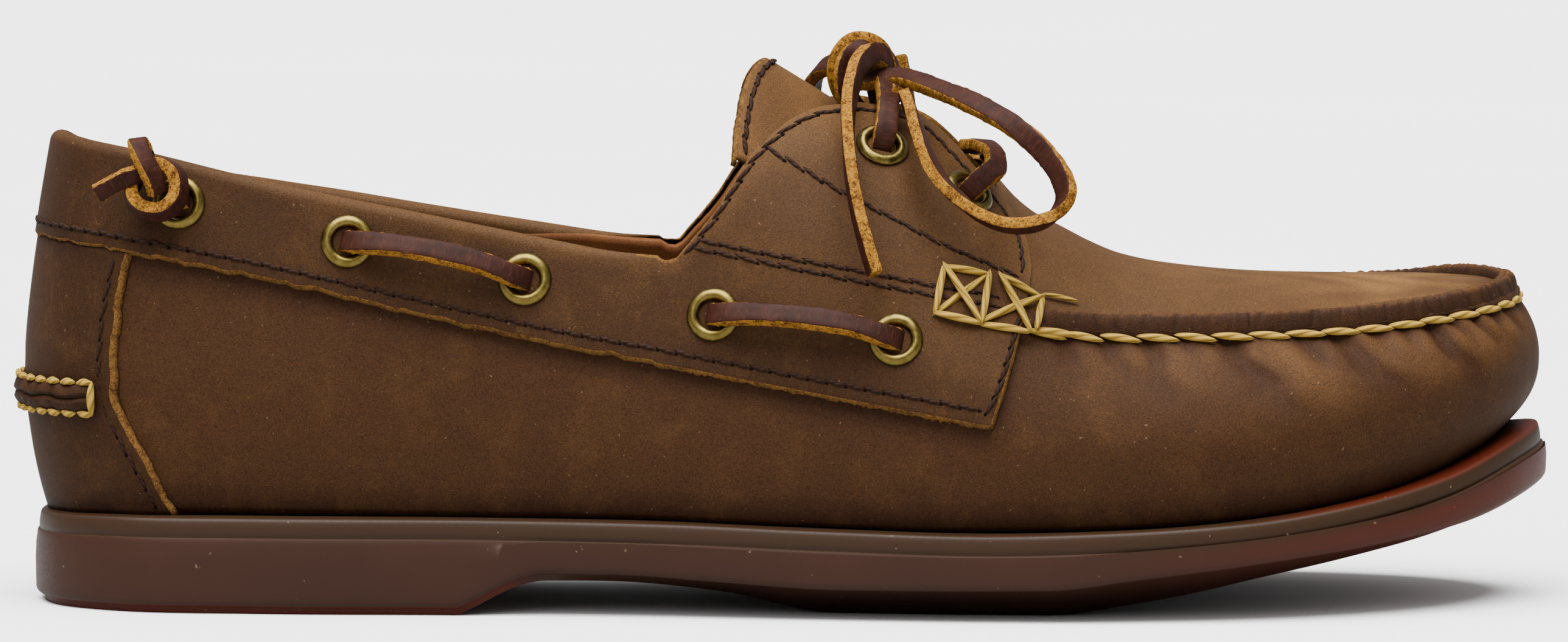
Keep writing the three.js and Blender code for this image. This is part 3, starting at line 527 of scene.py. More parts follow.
def lay_grid(name, across, along, place, materials, index=None, outward=False, angle=40, uv_size=(1, 1)):
    """A grid primitive laid on a surface.

    place(i, j) gives the grid's points and, if it likes, a wear value for each, which mixes real wear with
    painted shade and painted light;
    index(i, j) gives a face's material from the lowest i and j of its corners.
    """
    deselect()
    bpy.ops.mesh.primitive_grid_add(x_subdivisions=across, y_subdivisions=along, size=1, calc_uvs=True)
    piece = bpy.context.object
    piece.name = piece.data.name = name
    flat = read_points(piece)
    i, j = np.rint((flat[:, 0] + 0.5) * across), np.rint((flat[:, 1] + 0.5) * along)
    placed = place(i, j)
    points, wear = placed if isinstance(placed, tuple) else (placed, None)
    write_points(piece, to_metres(points))
    if wear is not None:
        set_values(piece, "wear", wear)
    uv = np.empty(len(piece.data.loops) * 2)
    piece.data.uv_layers[0].data.foreach_get("uv", uv)
    piece.data.uv_layers[0].data.foreach_set("uv", (uv.reshape(-1, 2) * np.array(uv_size)).ravel())
    for material in materials:
        piece.data.materials.append(material)
    if index is not None:
        corners = np.array([p.vertices for p in piece.data.polygons])
        piece.data.polygons.foreach_set("material_index", index(i[corners].min(1), j[corners].min(1)))
    weld(piece, outward)
    bpy.ops.object.shade_smooth_by_angle(angle=math.radians(angle))
    return piece


def apply_modifier(piece, kind, **settings):
    """Adds a modifier with its settings and applies it."""
    activate(piece)
    modifier = piece.modifiers.new(kind.title(), kind)
    for name, value in settings.items():
        setattr(modifier, name, value)
    bpy.ops.object.modifier_apply(modifier=modifier.name)


def thicken(piece, thickness):
    """A sheet becomes a closed shell, grown inwards from its outer face."""
    apply_modifier(piece, "SOLIDIFY", thickness=thickness / 1000, offset=-1)


def turn_towards(piece, face, direction):
    """Turns a whole sheet over if this face of it looks away from a direction."""
    if piece.data.polygons[face].normal.dot(Vector(direction)) < 0:
        piece.data.flip_normals()


def keep(piece, slot, *nodes):
    """The piece rides on the shoe and stands for CAD nodes, which it hides; slot is not used."""
    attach(piece, "root")
    if nodes:
        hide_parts(*nodes)
    return piece


def copies(name, seed, frames, sizes, materials):
    """One mesh of many copies of a seed, each on its own frame: place, along, side and up."""
    source = read_points(seed) * 1000
    count = len(source)
    points = [
        at + source[:, :1] * size[0] * along + source[:, 1:2] * size[1] * side + source[:, 2:] * size[2] * up
        for (at, along, side, up), size in zip(frames, sizes)
    ]
    polygons = [tuple(p.vertices) for p in seed.data.polygons]
    faces = [tuple(v + k * count for v in p) for k in range(len(points)) for p in polygons]
    mesh = bpy.data.meshes.new(name)
    mesh.from_pydata(to_metres(np.concatenate(points)).tolist(), [], faces)
    uv = np.empty(len(seed.data.loops) * 2)
    seed.data.uv_layers[0].data.foreach_get("uv", uv)
    uv = uv.reshape(-1, 2)
    shifts = np.arange(len(points))[:, None, None] * np.array([1.0, 0.0])
    layer = mesh.uv_layers.new(name="UVMap")
    layer.data.foreach_set("uv", (uv[None] + shifts).ravel())
    for material in materials:
        mesh.materials.append(material)
    piece = bpy.data.objects.new(name, mesh)
    bpy.context.collection.objects.link(piece)
    activate(piece)
    bpy.ops.object.shade_smooth()
    return piece


def thread_seed(name, rings=8, sides=8, bow=0.0, taper=0.6):
    """One stitch, 1 long, 1 wide and 1 high, with tapered ends."""

    def place(i, j):
        t = i / rings
        radius = 0.5 * np.clip(np.sin(np.pi * t), 0, 1) ** taper
        turn = 2 * np.pi * j / sides
        z = radius * np.sin(turn) + bow * np.sin(np.pi * t)
        return np.stack([t - 0.5, radius * np.cos(turn), z], -1) - ORIGIN

    return lay_grid(name, rings, sides, place, [], outward=True)


def discard(piece):
    """Removes a seed once its copies are made."""
    mesh = piece.data
    bpy.data.objects.remove(piece)
    bpy.data.meshes.remove(mesh)


def row_frames(points, normals, pitch, slant, sink, rng):
    """Frames for stitches spaced along a line on a surface, each turned a little by hand."""
    jitter, near = 0.03, 0.004
    run = lengths(points)
    count = max(1, round(run[-1] / pitch))
    share = (np.arange(count) + 0.5) / count
    at = along_line(points, share)
    ahead, behind = (along_line(points, np.clip(share + step, 0, 1)) for step in (near, -near))
    tangent = unit(ahead - behind)
    normal = unit(np.stack([np.interp(share * run[-1], run, normals[:, k]) for k in range(3)], -1))
    side = unit(np.cross(normal, tangent))
    frames = []
    for k in range(count):
        turn = slant + rng.normal(0, jitter)
        along = tangent[k] * math.cos(turn) + side[k] * math.sin(turn)
        across = side[k] * math.cos(turn) - tangent[k] * math.sin(turn)
        frames.append((at[k] - normal[k] * sink, along, across, normal[k]))
    return frames


# ---- Straps of lace ----
def strap_section(width, thick, bevel=0.45):
    """Points round a strap's section, and whether the stretch after each is a cut side."""
    w, t = width / 2, thick / 2
    corner = bevel * 0.3
    points = [
        (-w, -t + bevel), (-w + corner, -t + corner), (-w + bevel, -t), (-w / 3, -t), (w / 3, -t),
        (w - bevel, -t), (w - corner, -t + corner), (w, -t + bevel),
        (w, t - bevel), (w - corner, t - corner), (w - bevel, t), (w / 3, t), (-w / 3, t),
        (-w + bevel, t), (-w + corner, t - corner), (-w, t - bevel),
    ]
    cut = np.isin(np.arange(len(points)), [0, 6, 7, 8, 14, 15])
    return np.array(points), cut


def strap_route(points, count):
    """A centripetal curve through a strap's points."""
    p = np.array(points, float)
    p = np.concatenate([p[:1] * 2 - p[1:2], p, p[-1:] * 2 - p[-2:-1]])
    span = np.sqrt(np.linalg.norm(np.diff(p, axis=0), axis=1))[:, None]
    place = np.linspace(0, len(points) - 1, count)
    i = np.minimum(place.astype(int), len(points) - 2)
    t = (place - i)[:, None]
    a, b, c, d = p[i], p[i + 1], p[i + 2], p[i + 3]
    s0, s1, s2 = span[i], span[i + 1], span[i + 2]
    leave = ((b - a) / s0 - (c - a) / (s0 + s1) + (c - b) / s1) * s1
    arrive = ((c - b) / s1 - (d - b) / (s1 + s2) + (d - c) / s2) * s1
    return (
        b * (2 * t**3 - 3 * t**2 + 1)
        + leave * (t**3 - 2 * t**2 + t)
        + c * (3 * t**2 - 2 * t**3)
        + arrive * (t**3 - t**2)
    )


STRAP_STEPS = 8  # rings between two points of a strap
FUZZ = 0.06  # how unevenly a strap's cut sides are cut


def strap(name, points, faces, width=LACE_WIDTH, thick=LACE_THICK, seed=1):
    """A flat lace along points, its smooth side turned through the directions in faces."""
    count = STRAP_STEPS * (len(points) - 1) + 1
    route = strap_route(points, count)
    ways = unit(np.array(faces, float))
    place = np.linspace(0, 1, len(faces))
    share = np.linspace(0, 1, count)
    face = unit(np.stack([monotone(place, ways[:, k], share) for k in range(3)], -1))
    along = unit(np.gradient(route, axis=0))
    across = unit(np.cross(along, face))
    up = np.cross(across, along)
    section, cut = strap_section(width, thick)
    sides = len(section)
    rng = np.random.default_rng(seed)
    fuzz = rng.normal(0, FUZZ, (count, sides)) * (cut | np.roll(cut, 1))
    swell = 1 + 0.03 * np.sin(np.linspace(0, count * 0.35, count) + seed)

    def place_point(i, j):
        i, j = i.astype(int), j.astype(int) % sides
        ring = np.clip(i - 1, 0, count - 1)
        closed = (i == 0) | (i == count + 1)
        a, b = section[j, 0] * swell[ring] + np.sign(section[j, 0]) * fuzz[ring, j], section[j, 1]
        a, b = np.where(closed, 0, a), np.where(closed, 0, b)
        return route[ring] + across[ring] * a[:, None] + up[ring] * b[:, None]

    def index(i, j):
        ends = (i < 1) | (i > count - 1)
        return np.where(ends | cut[j.astype(int)], 1, 0)

    uv_size = (lengths(route)[-1], 2 * (width + thick))
    materials = [MATERIALS["lace"], MATERIALS["lace_edge"]]
    piece = lay_grid(
        name, count + 1, sides, place_point, materials, index, outward=True, angle=50, uv_size=uv_size
    )
    return piece, route


# ---- Materials ----
def colour(red, green, blue):
    """A screen colour of 0 to 255 as the linear values a shader takes."""
    return [((c / 255 + 0.055) / 1.055) ** 2.4 if c > 10 else c / 255 / 12.92 for c in (red, green, blue)]


class Nodes:
    """A small hand for building node trees."""

    def __init__(self, tree):
        self.tree = tree

    def add(self, kind, **settings):
        node = self.tree.nodes.new(kind)
        for name, value in settings.items():
            setattr(node, name, value)
        return node

    def link(self, source, target):
        self.tree.links.new(source, target)

    def value(self, socket, value):
        if hasattr(value, "is_linked"):
            self.link(value, socket)
        else:
            socket.default_value = value

    def math(self, operation, a, b=0.0, c=0.0, clamp=False):
        node = self.add("ShaderNodeMath", operation=operation, use_clamp=clamp)
        for socket, value in zip(node.inputs, (a, b, c)):
            self.value(socket, value)
        return node.outputs[0]

    def noise(self, vector, scale, detail=3.0, roughness=0.55, distortion=0.0):
        node = self.add("ShaderNodeTexNoise")
        self.value(node.inputs["Vector"], vector)
        settings = {"Scale": scale, "Detail": detail, "Roughness": roughness, "Distortion": distortion}
        for name, value in settings.items():
            self.value(node.inputs[name], value)
        return node.outputs["Fac"]

    def stretch(self, vector, scale, rotation=(0, 0, 0)):
        node = self.add("ShaderNodeMapping")
        self.link(vector, node.inputs["Vector"])
        node.inputs["Scale"].default_value = scale
        node.inputs["Rotation"].default_value = rotation
        return node.outputs[0]

    def ramp(self, value, low, high):
        node = self.add("ShaderNodeMapRange", clamp=True)
        self.value(node.inputs["Value"], value)
        self.value(node.inputs["From Min"], low)
        self.value(node.inputs["From Max"], high)
        return node.outputs["Result"]

    def blend(self, share, a, b, mode="MIX"):
        node = self.add("ShaderNodeMix", data_type="RGBA", blend_type=mode)
        self.value(node.inputs["Factor"], share)
        self.value(node.inputs["A"], a)
        self.value(node.inputs["B"], b)
        return node.outputs["Result"]


def node_group(name, inputs, outputs, build):
    """A shader group with named sockets, built once."""
    if name in bpy.data.node_groups:
        return bpy.data.node_groups[name]
    group = bpy.data.node_groups.new(name, "ShaderNodeTree")
    kinds = {"colour": "NodeSocketColor", "value": "NodeSocketFloat", "vector": "NodeSocketVector"}
    for socket, kind in inputs:
        group.interface.new_socket(socket, in_out="INPUT", socket_type=kinds[kind])
    for socket, kind in outputs:
        group.interface.new_socket(socket, in_out="OUTPUT", socket_type=kinds[kind])
    n = Nodes(group)
    source, sink = n.add("NodeGroupInput"), n.add("NodeGroupOutput")
    results = build(n, source.outputs)
    for socket, _ in outputs:
        n.link(results[socket], sink.inputs[socket])
    return group


def build_hide(n, inputs):
    """Oiled, waxed leather: clouds of colour, pale pull-up, a fine nap and scuffs."""
    place = n.add("ShaderNodeTexCoord").outputs["Object"]
    # The wear point mask: below zero it darkens towards Dark, mostly as painted shade; above zero it pales
    # towards Pale, as real wear and as painted light.
    wear = n.add("ShaderNodeAttribute", attribute_name="wear").outputs["Fac"]
    cloud = n.noise(place, 34, 4, 0.6)
    patch = n.noise(place, 120, 5, 0.62, 0.4)
    nap = n.noise(place, 2600, 3, 0.6)
    pore = n.noise(place, 5200, 2, 0.5)
    dark = n.math("MULTIPLY", n.ramp(cloud, 0.46, 0.72), 0.32)
    dark = n.math("ADD", dark, n.math("MULTIPLY", wear, -1.0), clamp=True)
    base = n.blend(dark, inputs["Base"], inputs["Dark"])
    pale = n.math("MULTIPLY", n.ramp(patch, 0.5, 0.78), inputs["Pull up"])
    pale = n.math("ADD", pale, n.math("MAXIMUM", wear, 0.0), clamp=True)
    base = n.blend(pale, base, inputs["Pale"])
    grain = n.math("MULTIPLY", n.math("SUBTRACT", n.math("ADD", nap, pore), 1.0), inputs["Grain"])
    speckle = n.math("MULTIPLY_ADD", grain, 1.9, 0.5, clamp=True)
    tone = n.blend(1.0, base, n.blend(speckle, (0.6, 0.58, 0.56, 1), (1.4, 1.38, 1.32, 1)), "MULTIPLY")
    scratch_place = n.stretch(place, (320, 320, 26), (0.5, 0.9, 0.4))
    scratch = n.noise(scratch_place, 1.0, 5, 0.62, 1.3)
    hair = n.ramp(n.math("ABSOLUTE", n.math("SUBTRACT", scratch, 0.5)), 0.006, 0.0)
    hair = n.math("MULTIPLY", hair, inputs["Scuffs"])
    hair = n.math("MULTIPLY", hair, n.ramp(n.noise(place, 60, 2), 0.5, 0.62))
    tone = n.blend(n.math("MULTIPLY", hair, 0.55), tone, inputs["Pale"])
    fleck = n.ramp(n.noise(place, 1300, 1, 0.4), 0.77, 0.8)
    tone = n.blend(n.math("MULTIPLY", fleck, 0.25), tone, (0.3, 0.2, 0.11, 1))
    rough = n.math("MULTIPLY_ADD", patch, 0.22, inputs["Roughness"])
    height = n.math("ADD", n.math("MULTIPLY", nap, 0.6), n.math("MULTIPLY", pore, 0.4))
    height = n.math("ADD", height, n.math("MULTIPLY", hair, -0.5))
    return {"Color": tone, "Roughness": rough, "Height": height}


def hide_group():
    return node_group(
        "Oiled hide",
        [("Base", "colour"), ("Dark", "colour"), ("Pale", "colour"), ("Pull up", "value"), ("Grain", "value"),
         ("Scuffs", "value"), ("Roughness", "value")],
        [("Color", "colour"), ("Roughness", "value"), ("Height", "value")],
        build_hide,
    )


def build_suede(n, inputs):
    """A raw cut of hide: short tangled fibres over a darker core."""
    place = n.add("ShaderNodeTexCoord").outputs["Object"]
    fibre = n.noise(place, 2100, 3, 0.75, 0.8)
    clump = n.noise(place, 520, 3, 0.6, 0.5)
    mask = n.ramp(n.math("ADD", n.math("MULTIPLY", fibre, 0.65), n.math("MULTIPLY", clump, 0.35)), 0.4, 0.56)
    tone = n.blend(mask, inputs["Core"], inputs["Fibre"])
    return {"Color": tone, "Height": fibre}


def suede_group():
    return node_group(
        "Raw suede",
        [("Core", "colour"), ("Fibre", "colour")],
        [("Color", "colour"), ("Height", "value")],
        build_suede,
    )


def build_ply(n, inputs):
    """Twisted plies: slanted ridges that follow the thread's own length and girth, with painted shade in the
    grooves between them.
    """
    uv = n.add("ShaderNodeUVMap", uv_map="UVMap").outputs[0]
    split = n.add("ShaderNodeSeparateXYZ")
    n.link(uv, split.inputs[0])
    turned = n.math("MULTIPLY", split.outputs[0], inputs["Turns"])
    phase = n.math("ADD", turned, n.math("MULTIPLY", split.outputs[1], inputs["Plies"]))
    ridge = n.math("ABSOLUTE", n.math("SINE", n.math("MULTIPLY", phase, math.pi)))
    place = n.add("ShaderNodeTexCoord").outputs["Object"]
    fibre = n.noise(place, 2600, 3, 0.6)
    shade = n.math("MULTIPLY_ADD", ridge, 0.55, n.math("MULTIPLY_ADD", fibre, 0.5, 0.08), clamp=True)
    tone = n.blend(shade, inputs["Groove"], inputs["Thread"])
    height = n.math("ADD", ridge, n.math("MULTIPLY", fibre, 0.35))
    return {"Color": tone, "Height": height}


def ply_group():
    return node_group(
        "Twisted ply",
        [("Thread", "colour"), ("Groove", "colour"), ("Turns", "value"), ("Plies", "value")],
        [("Color", "colour"), ("Height", "value")],
        build_ply,
    )


def new_material(name, roughness=0.5, metallic=0.0, specular=0.5):
    """A material, a hand for its nodes and its shader."""
    material = bpy.data.materials.new(name)
    material.use_nodes = True
    n = Nodes(material.node_tree)
    shader = material.node_tree.nodes["Principled BSDF"]
    shader.inputs["Roughness"].default_value = roughness
    shader.inputs["Metallic"].default_value = metallic
    shader.inputs["Specular IOR Level"].default_value = specular
    return material, n, shader


def use_group(n, group, **values):
    """Places a group with its own values; a colour of three numbers gets its alpha."""
    node = n.add("ShaderNodeGroup", node_tree=group)
    for name, value in values.items():
        n.value(node.inputs[name.replace("_", " ")], (*value, 1) if isinstance(value, list) else value)
    return node.outputs


def bump(n, shader, height, strength, distance):
    node = n.add("ShaderNodeBump")
    node.inputs["Strength"].default_value = strength
    node.inputs["Distance"].default_value = distance
    n.link(height, node.inputs["Height"])
    n.link(node.outputs[0], shader.inputs["Normal"])


def leather_material(name, base, dark, pale, pull_up, grain, scuffs=0.0, roughness=0.5):
    material, n, shader = new_material(name, specular=0.07)
    out = use_group(
        n, hide_group(), Base=base, Dark=dark, Pale=pale, Pull_up=pull_up, Grain=grain, Scuffs=scuffs,
        Roughness=roughness,
    )
    n.link(out["Color"], shader.inputs["Base Color"])
    n.link(out["Roughness"], shader.inputs["Roughness"])
    bump(n, shader, out["Height"], 0.5, 0.0003)
    return material


def suede_material(name, fibre, core):
    material, n, shader = new_material(name, roughness=0.95, specular=0.08)
    out = use_group(n, suede_group(), Core=core, Fibre=fibre)
    n.link(out["Color"], shader.inputs["Base Color"])
    bump(n, shader, out["Height"], 0.8, 0.0005)
    return material


def thread_material(name, thread, groove_shade, turns, plies, roughness, depth):
    material, n, shader = new_material(name, roughness=roughness, specular=0.1)
    out = use_group(n, ply_group(), Thread=thread, Groove=groove_shade, Turns=turns, Plies=plies)
    n.link(out["Color"], shader.inputs["Base Color"])
    bump(n, shader, out["Height"], 0.7, depth)
    return material


def brass_material():
    """Antiqued brass, darker where it is tarnished."""
    material, n, shader = new_material("antique_brass", metallic=1.0)
    place = n.add("ShaderNodeTexCoord").outputs["Object"]
    tarnish = n.noise(place, 700, 4, 0.6)
    fine = n.noise(place, 3500, 2)
    tone = n.blend(n.ramp(tarnish, 0.3, 0.75), (*colour(84, 70, 30), 1), (*colour(120, 104, 54), 1))
    n.link(tone, shader.inputs["Base Color"])
    n.link(n.math("MULTIPLY_ADD", tarnish, 0.3, 0.2), shader.inputs["Roughness"])
    bump(n, shader, fine, 0.25, 0.00008)
    return material


def lace_material():
    """The lace's smooth grain side, creased where it has been pulled."""
    material, n, shader = new_material("lace_grain", specular=0.06)
    uv = n.add("ShaderNodeUVMap", uv_map="UVMap").outputs[0]
    place = n.add("ShaderNodeTexCoord").outputs["Object"]
    crease = n.noise(n.stretch(uv, (1.6, 0.55, 1)), 1.0, 5, 0.65, 0.8)
    cloud = n.noise(place, 260, 3)
    tone = n.blend(n.ramp(cloud, 0.3, 0.75), (*colour(34, 16, 11), 1), (*colour(50, 25, 17), 1))
    tone = n.blend(n.math("MULTIPLY", n.ramp(crease, 0.52, 0.62), 0.35), tone, (*colour(70, 38, 27), 1))
    n.link(tone, shader.inputs["Base Color"])
    n.link(n.math("MULTIPLY_ADD", crease, 0.3, 0.38), shader.inputs["Roughness"])
    bump(n, shader, n.math("ADD", crease, n.math("MULTIPLY", n.noise(place, 2400, 2), 0.3)), 0.35, 0.0002)
    return material


def rubber_material():
    """Gum rubber: a brown body, olive on the rim, and a dark red painted glow where light shines through thin
    rubber.
    """
    material, n, shader = new_material("gum_rubber", specular=0.16)
    place = n.add("ShaderNodeTexCoord").outputs["Object"]
    rim = n.add("ShaderNodeAttribute", attribute_name="rim").outputs["Fac"]
    glow = n.add("ShaderNodeAttribute", attribute_name="glow").outputs["Fac"]
    cloud = n.noise(place, 30, 3)
    haze = n.noise(place, 1800, 3, 0.6)
    tone = n.blend(n.ramp(cloud, 0.3, 0.7), (*colour(44, 24, 15), 1), (*colour(49, 27, 17), 1))
    tone = n.blend(rim, tone, (*colour(43, 28, 14), 1))
    tone = n.blend(glow, tone, (*colour(76, 24, 8), 1))
    speck = n.ramp(n.noise(place, 800, 1, 0.4), 0.775, 0.8)
    tone = n.blend(n.math("MULTIPLY", speck, 0.3), tone, (0.3, 0.2, 0.12, 1))
    n.link(tone, shader.inputs["Base Color"])
    n.link(n.math("MULTIPLY_ADD", haze, 0.25, 0.36), shader.inputs["Roughness"])
    bump(n, shader, haze, 0.15, 0.0001)
    return material


# ---- Settings ----
def length_property(name, description, default):
    """A length that is kept in metres, from a default in millimetres."""
    return bpy.props.FloatProperty(
        name=name, description=description, default=default / 1000, min=0.0, subtype="DISTANCE", unit="LENGTH"
    )


def colour_property(name, description, red, green, blue):
    """A colour setting, from a default of 0 to 255."""
    return bpy.props.FloatVectorProperty(
        name=name, description=description, default=colour(red, green, blue), size=3, subtype="COLOR", min=0,
        max=1,
    )


class ShoeSizes(bpy.types.PropertyGroup):
    """Sizes of the stitching."""

    lock_pitch: length_property("Lock stitch", "Length of a dark stitch", 3.75)
    saddle_pitch: length_property("Saddle stitch", "Length of a dark stitch on the saddle", 4.3)
    lock_width: length_property("Dark thread", "Width of the dark thread", 1.0)
    seam_pitch: length_property("Toe stitch", "Length of a stitch round the toe", 7.3)
    seam_width: length_property("Pale thread", "Width of the pale thread", 1.55)


class ShoeColours(bpy.types.PropertyGroup):
    """Colours of the leathers and threads."""

    hide: colour_property("Hide", "The saddle and quarter band", 50, 31, 15)
    vamp: colour_property("Vamp", "The lower part of the upper", 51, 31, 16)
    # Oiled and Pull-up also serve as the painted shade and painted light that the wear mask adds.
    dark: colour_property("Oiled", "Where the hide is dark with oil", 32, 16, 8)
    pale: colour_property("Pull-up", "Where the hide is stretched and pale", 98, 69, 38)
    edge: colour_property("Raw edge", "Fibres of a cut edge", 110, 77, 36)
    core: colour_property("Edge core", "Between the fibres of a cut edge", 58, 36, 18)
    dark_thread: colour_property("Dark thread", "Lock stitching", 42, 24, 14)
    pale_thread: colour_property("Pale thread", "Hand-sewn stitching", 172, 140, 58)
    lining: colour_property("Lining", "Inside of the shoe", 90, 54, 28)


MATERIALS = {}  # every finish, under the name the pieces ask for


def millimetres(sizes):
    """The length settings in the maker's millimetres, by name."""
    return {name: getattr(sizes, name) * 1000 for name in ShoeSizes.__annotations__}


def prepare_materials(colours):
    """Builds every finish."""
    c = {name: list(getattr(colours, name)) for name in ShoeColours.__annotations__}
    MATERIALS["hide"] = leather_material(
        "oiled_hide", c["hide"], c["dark"], c["pale"], pull_up=0.16, grain=0.9, scuffs=1.0
    )
    MATERIALS["vamp"] = leather_material(
        "vamp_hide", c["vamp"], c["dark"], c["pale"], pull_up=0.16, grain=0.95, scuffs=0.35
    )
    MATERIALS["ridge"] = leather_material(
        "seam_hide", colour(44, 26, 14), colour(22, 12, 7), colour(86, 56, 28), pull_up=0.25, grain=0.9,
        scuffs=0.3, roughness=0.55,
    )
    MATERIALS["lining"] = leather_material(
        "lining_hide", c["lining"], colour(56, 28, 15), colour(128, 82, 48), pull_up=0.2, grain=0.5
    )
    MATERIALS["edge"] = suede_material("raw_edge", c["edge"], c["core"])
    MATERIALS["lace_edge"] = suede_material("lace_cut_edge", colour(152, 106, 36), colour(60, 31, 10))
    # Each thread's second colour is the painted shade in the grooves between its plies.
    MATERIALS["dark_thread"] = thread_material(
        "dark_thread", c["dark_thread"], colour(14, 7, 5), turns=3.0, plies=2.0, roughness=0.75, depth=0.0002
    )
    MATERIALS["pale_thread"] = thread_material(
        "pale_thread", c["pale_thread"], colour(92, 64, 22), turns=2.0, plies=3.0, roughness=0.8, depth=0.0004
    )
    # Near-black painted shade for the inside of the eyelets and of the stitch holes.
    MATERIALS["hole"] = leather_material(
        "stitch_hole", colour(12, 6, 4), colour(6, 3, 2), colour(18, 10, 6), pull_up=0.1, grain=0.3,
        roughness=0.9,
    )
    MATERIALS["brass"] = brass_material()
    MATERIALS["lace"] = lace_material()
    MATERIALS["rubber"] = rubber_material()


# ---- Sole and insole ----
# Rings of the sole's side, from the tread up: how far inside the plan, from which height, and how far above it.
SOLE_RINGS = [
    ("inset", "tread", 0), ("inset", "tread", 0.02), ("brow", "edge", -0.3), ("brow", "edge", -0.2),
    (1.1, "edge", -0.25), (0.75, "edge", -0.1), (0.4, "edge", 0.2), (0.16, "edge", 0.65), (0.08, "edge", 1.1),
    (0.03, "low", 0), (0.0, "middle", 0), (0.14, "high", 0), (0.34, "rim", -5.0), (0.44, "rim", -4.2),
    (0.55, "rim", -3.95), (0.86, "rim", -3.8), (0.9, "rim", -3.6), (0.8, "rim", -3.35), (0.82, "rim", -2.6),
    (0.94, "rim", -1.6), (1.08, "rim", -0.8), (1.26, "rim", -0.35), (1.56, "rim", -0.1), (2.0, "rim", 0.0),
    (2.8, "rim", 0.02), (4.4, "feather", -0.35), (6.4, "feather", -0.5),
]
TOE_START = 230.0  # from here on the sole's edge is rounded more
TOE_LENGTH = 68.0


def sole_point(way, ring):
    """A ring's points on the side of the sole."""
    inside, level, lift = ring
    edge = SOLE_PLAN.at(way)
    toe = np.clip((edge[:, 0] - TOE_START) / TOE_LENGTH, 0, None)
    asked = UNDERSIDE.at(inside, edge[:, 0]) if isinstance(inside, str) else np.full(len(edge), inside)
    asked = asked + 3.4 * toe if level == "feather" else asked * (1 + 0.5 * toe)
    xy = edge + SOLE_PLAN.inward(way) * asked[:, None]
    rim = SOLE.at_station("rim", np.abs(wrap(way)))
    low = UNDERSIDE.at("edge", xy[:, 0])
    heights = {
        "tread": UNDERSIDE.at("tread", xy[:, 0]), "edge": low, "low": low + 0.2 * (rim - low),
        "middle": low + 0.42 * (rim - low), "high": low + 0.6 * (rim - low), "rim": rim,
        "feather": FEATHER.at("height", xy[:, 0]),
    }
    return np.concatenate([xy, (heights[level] + lift)[:, None]], 1)


def rim_height(x):
    """Height of the sole's rim at a distance from the heel."""
    station = np.linspace(0, 1, 400)
    reach = SOLE_PLAN.at(-station)[:, 0]
    order = np.argsort(reach)
    return np.interp(x, reach[order], SOLE.at_station("rim", station)[order])


def make_outsole():
    """The rubber unit sole: its sides as rings, closed over the top and under the tread."""
    stations, cross = 260, 5
    station = np.linspace(0, 1, stations + 1)
    lateral = [sole_point(-station, ring) for ring in SOLE_RINGS]
    medial = [sole_point(station, ring) for ring in SOLE_RINGS]

    def between(a, b, name, table, lift):
        rows = []
        for t in np.arange(1, cross + 1) / (cross + 1):
            p = mix(a, b, t)
            p[:, 2] = table.at(name, p[:, 0]) + lift
            rows.append(p)
        return rows

    over = between(lateral[-1], medial[-1], "height", FEATHER, -0.5)
    under = between(medial[0], lateral[0], "tread", UNDERSIDE, 0)
    rings = np.stack(lateral + over + medial[::-1] + under, 1)
    count = rings.shape[1]

    def place(i, j):
        return rings[i.astype(int), j.astype(int) % count]

    piece = lay_grid("sole_unit", stations, count, place, [MATERIALS["rubber"]], outward=True, angle=38)
    x, _, z = (read_points(piece) * 1000 - ORIGIN).T
    over_rim, over_edge = z - rim_height(x), z - UNDERSIDE.at("edge", x)
    set_values(piece, "rim", ease(-4.1, -3.7, over_rim) * 0.85)
    # Painted glow: dark red where light shows through thin rubber at the heel's lower edge, over the toe and on
    # the welt.
    heel_glow = 0.75 * ease(0.3, -0.2, over_edge) * ease(100, 92, x)
    toe_glow = 0.5 * ease(200, 285, x) * ease(-3.2, -5.5, over_rim)
    welt_glow = 0.8 * ease(-0.2, 0.05, over_rim) * ease(232, 262, x)
    set_values(piece, "glow", np.maximum(np.maximum(heel_glow, toe_glow), welt_glow))
    return keep(piece, "rubber", "outsole")


def make_insole():
    """The sock inside the shoe, dished a little where the foot has pressed it."""
    across, along = 40, 140
    inset = WALL + GAP + 1.0

    def place(i, j):
        station = 0.008 + 0.984 * j / along
        t = i / across
        lateral, medial = (
            wall_face(way, foot_height(way) + INSOLE, np.full(len(way), -inset)) for way in (-station, station)
        )
        p = mix(lateral, medial, t[:, None])
        dish = (np.abs(2 * t - 1) ** 4) * 1.4 - 0.6
        p[:, 2] = FEATHER.at("height", p[:, 0]) + INSOLE + dish
        return p

    piece = lay_grid("sock_lining", across, along, place, [MATERIALS["lining"]])
    thicken(piece, INSOLE - 0.8)
    return keep(piece, "lining", "insole")


# ---- Vamp and apron ----
SEAM_START = 0.56  # how far round the last the toe seam begins
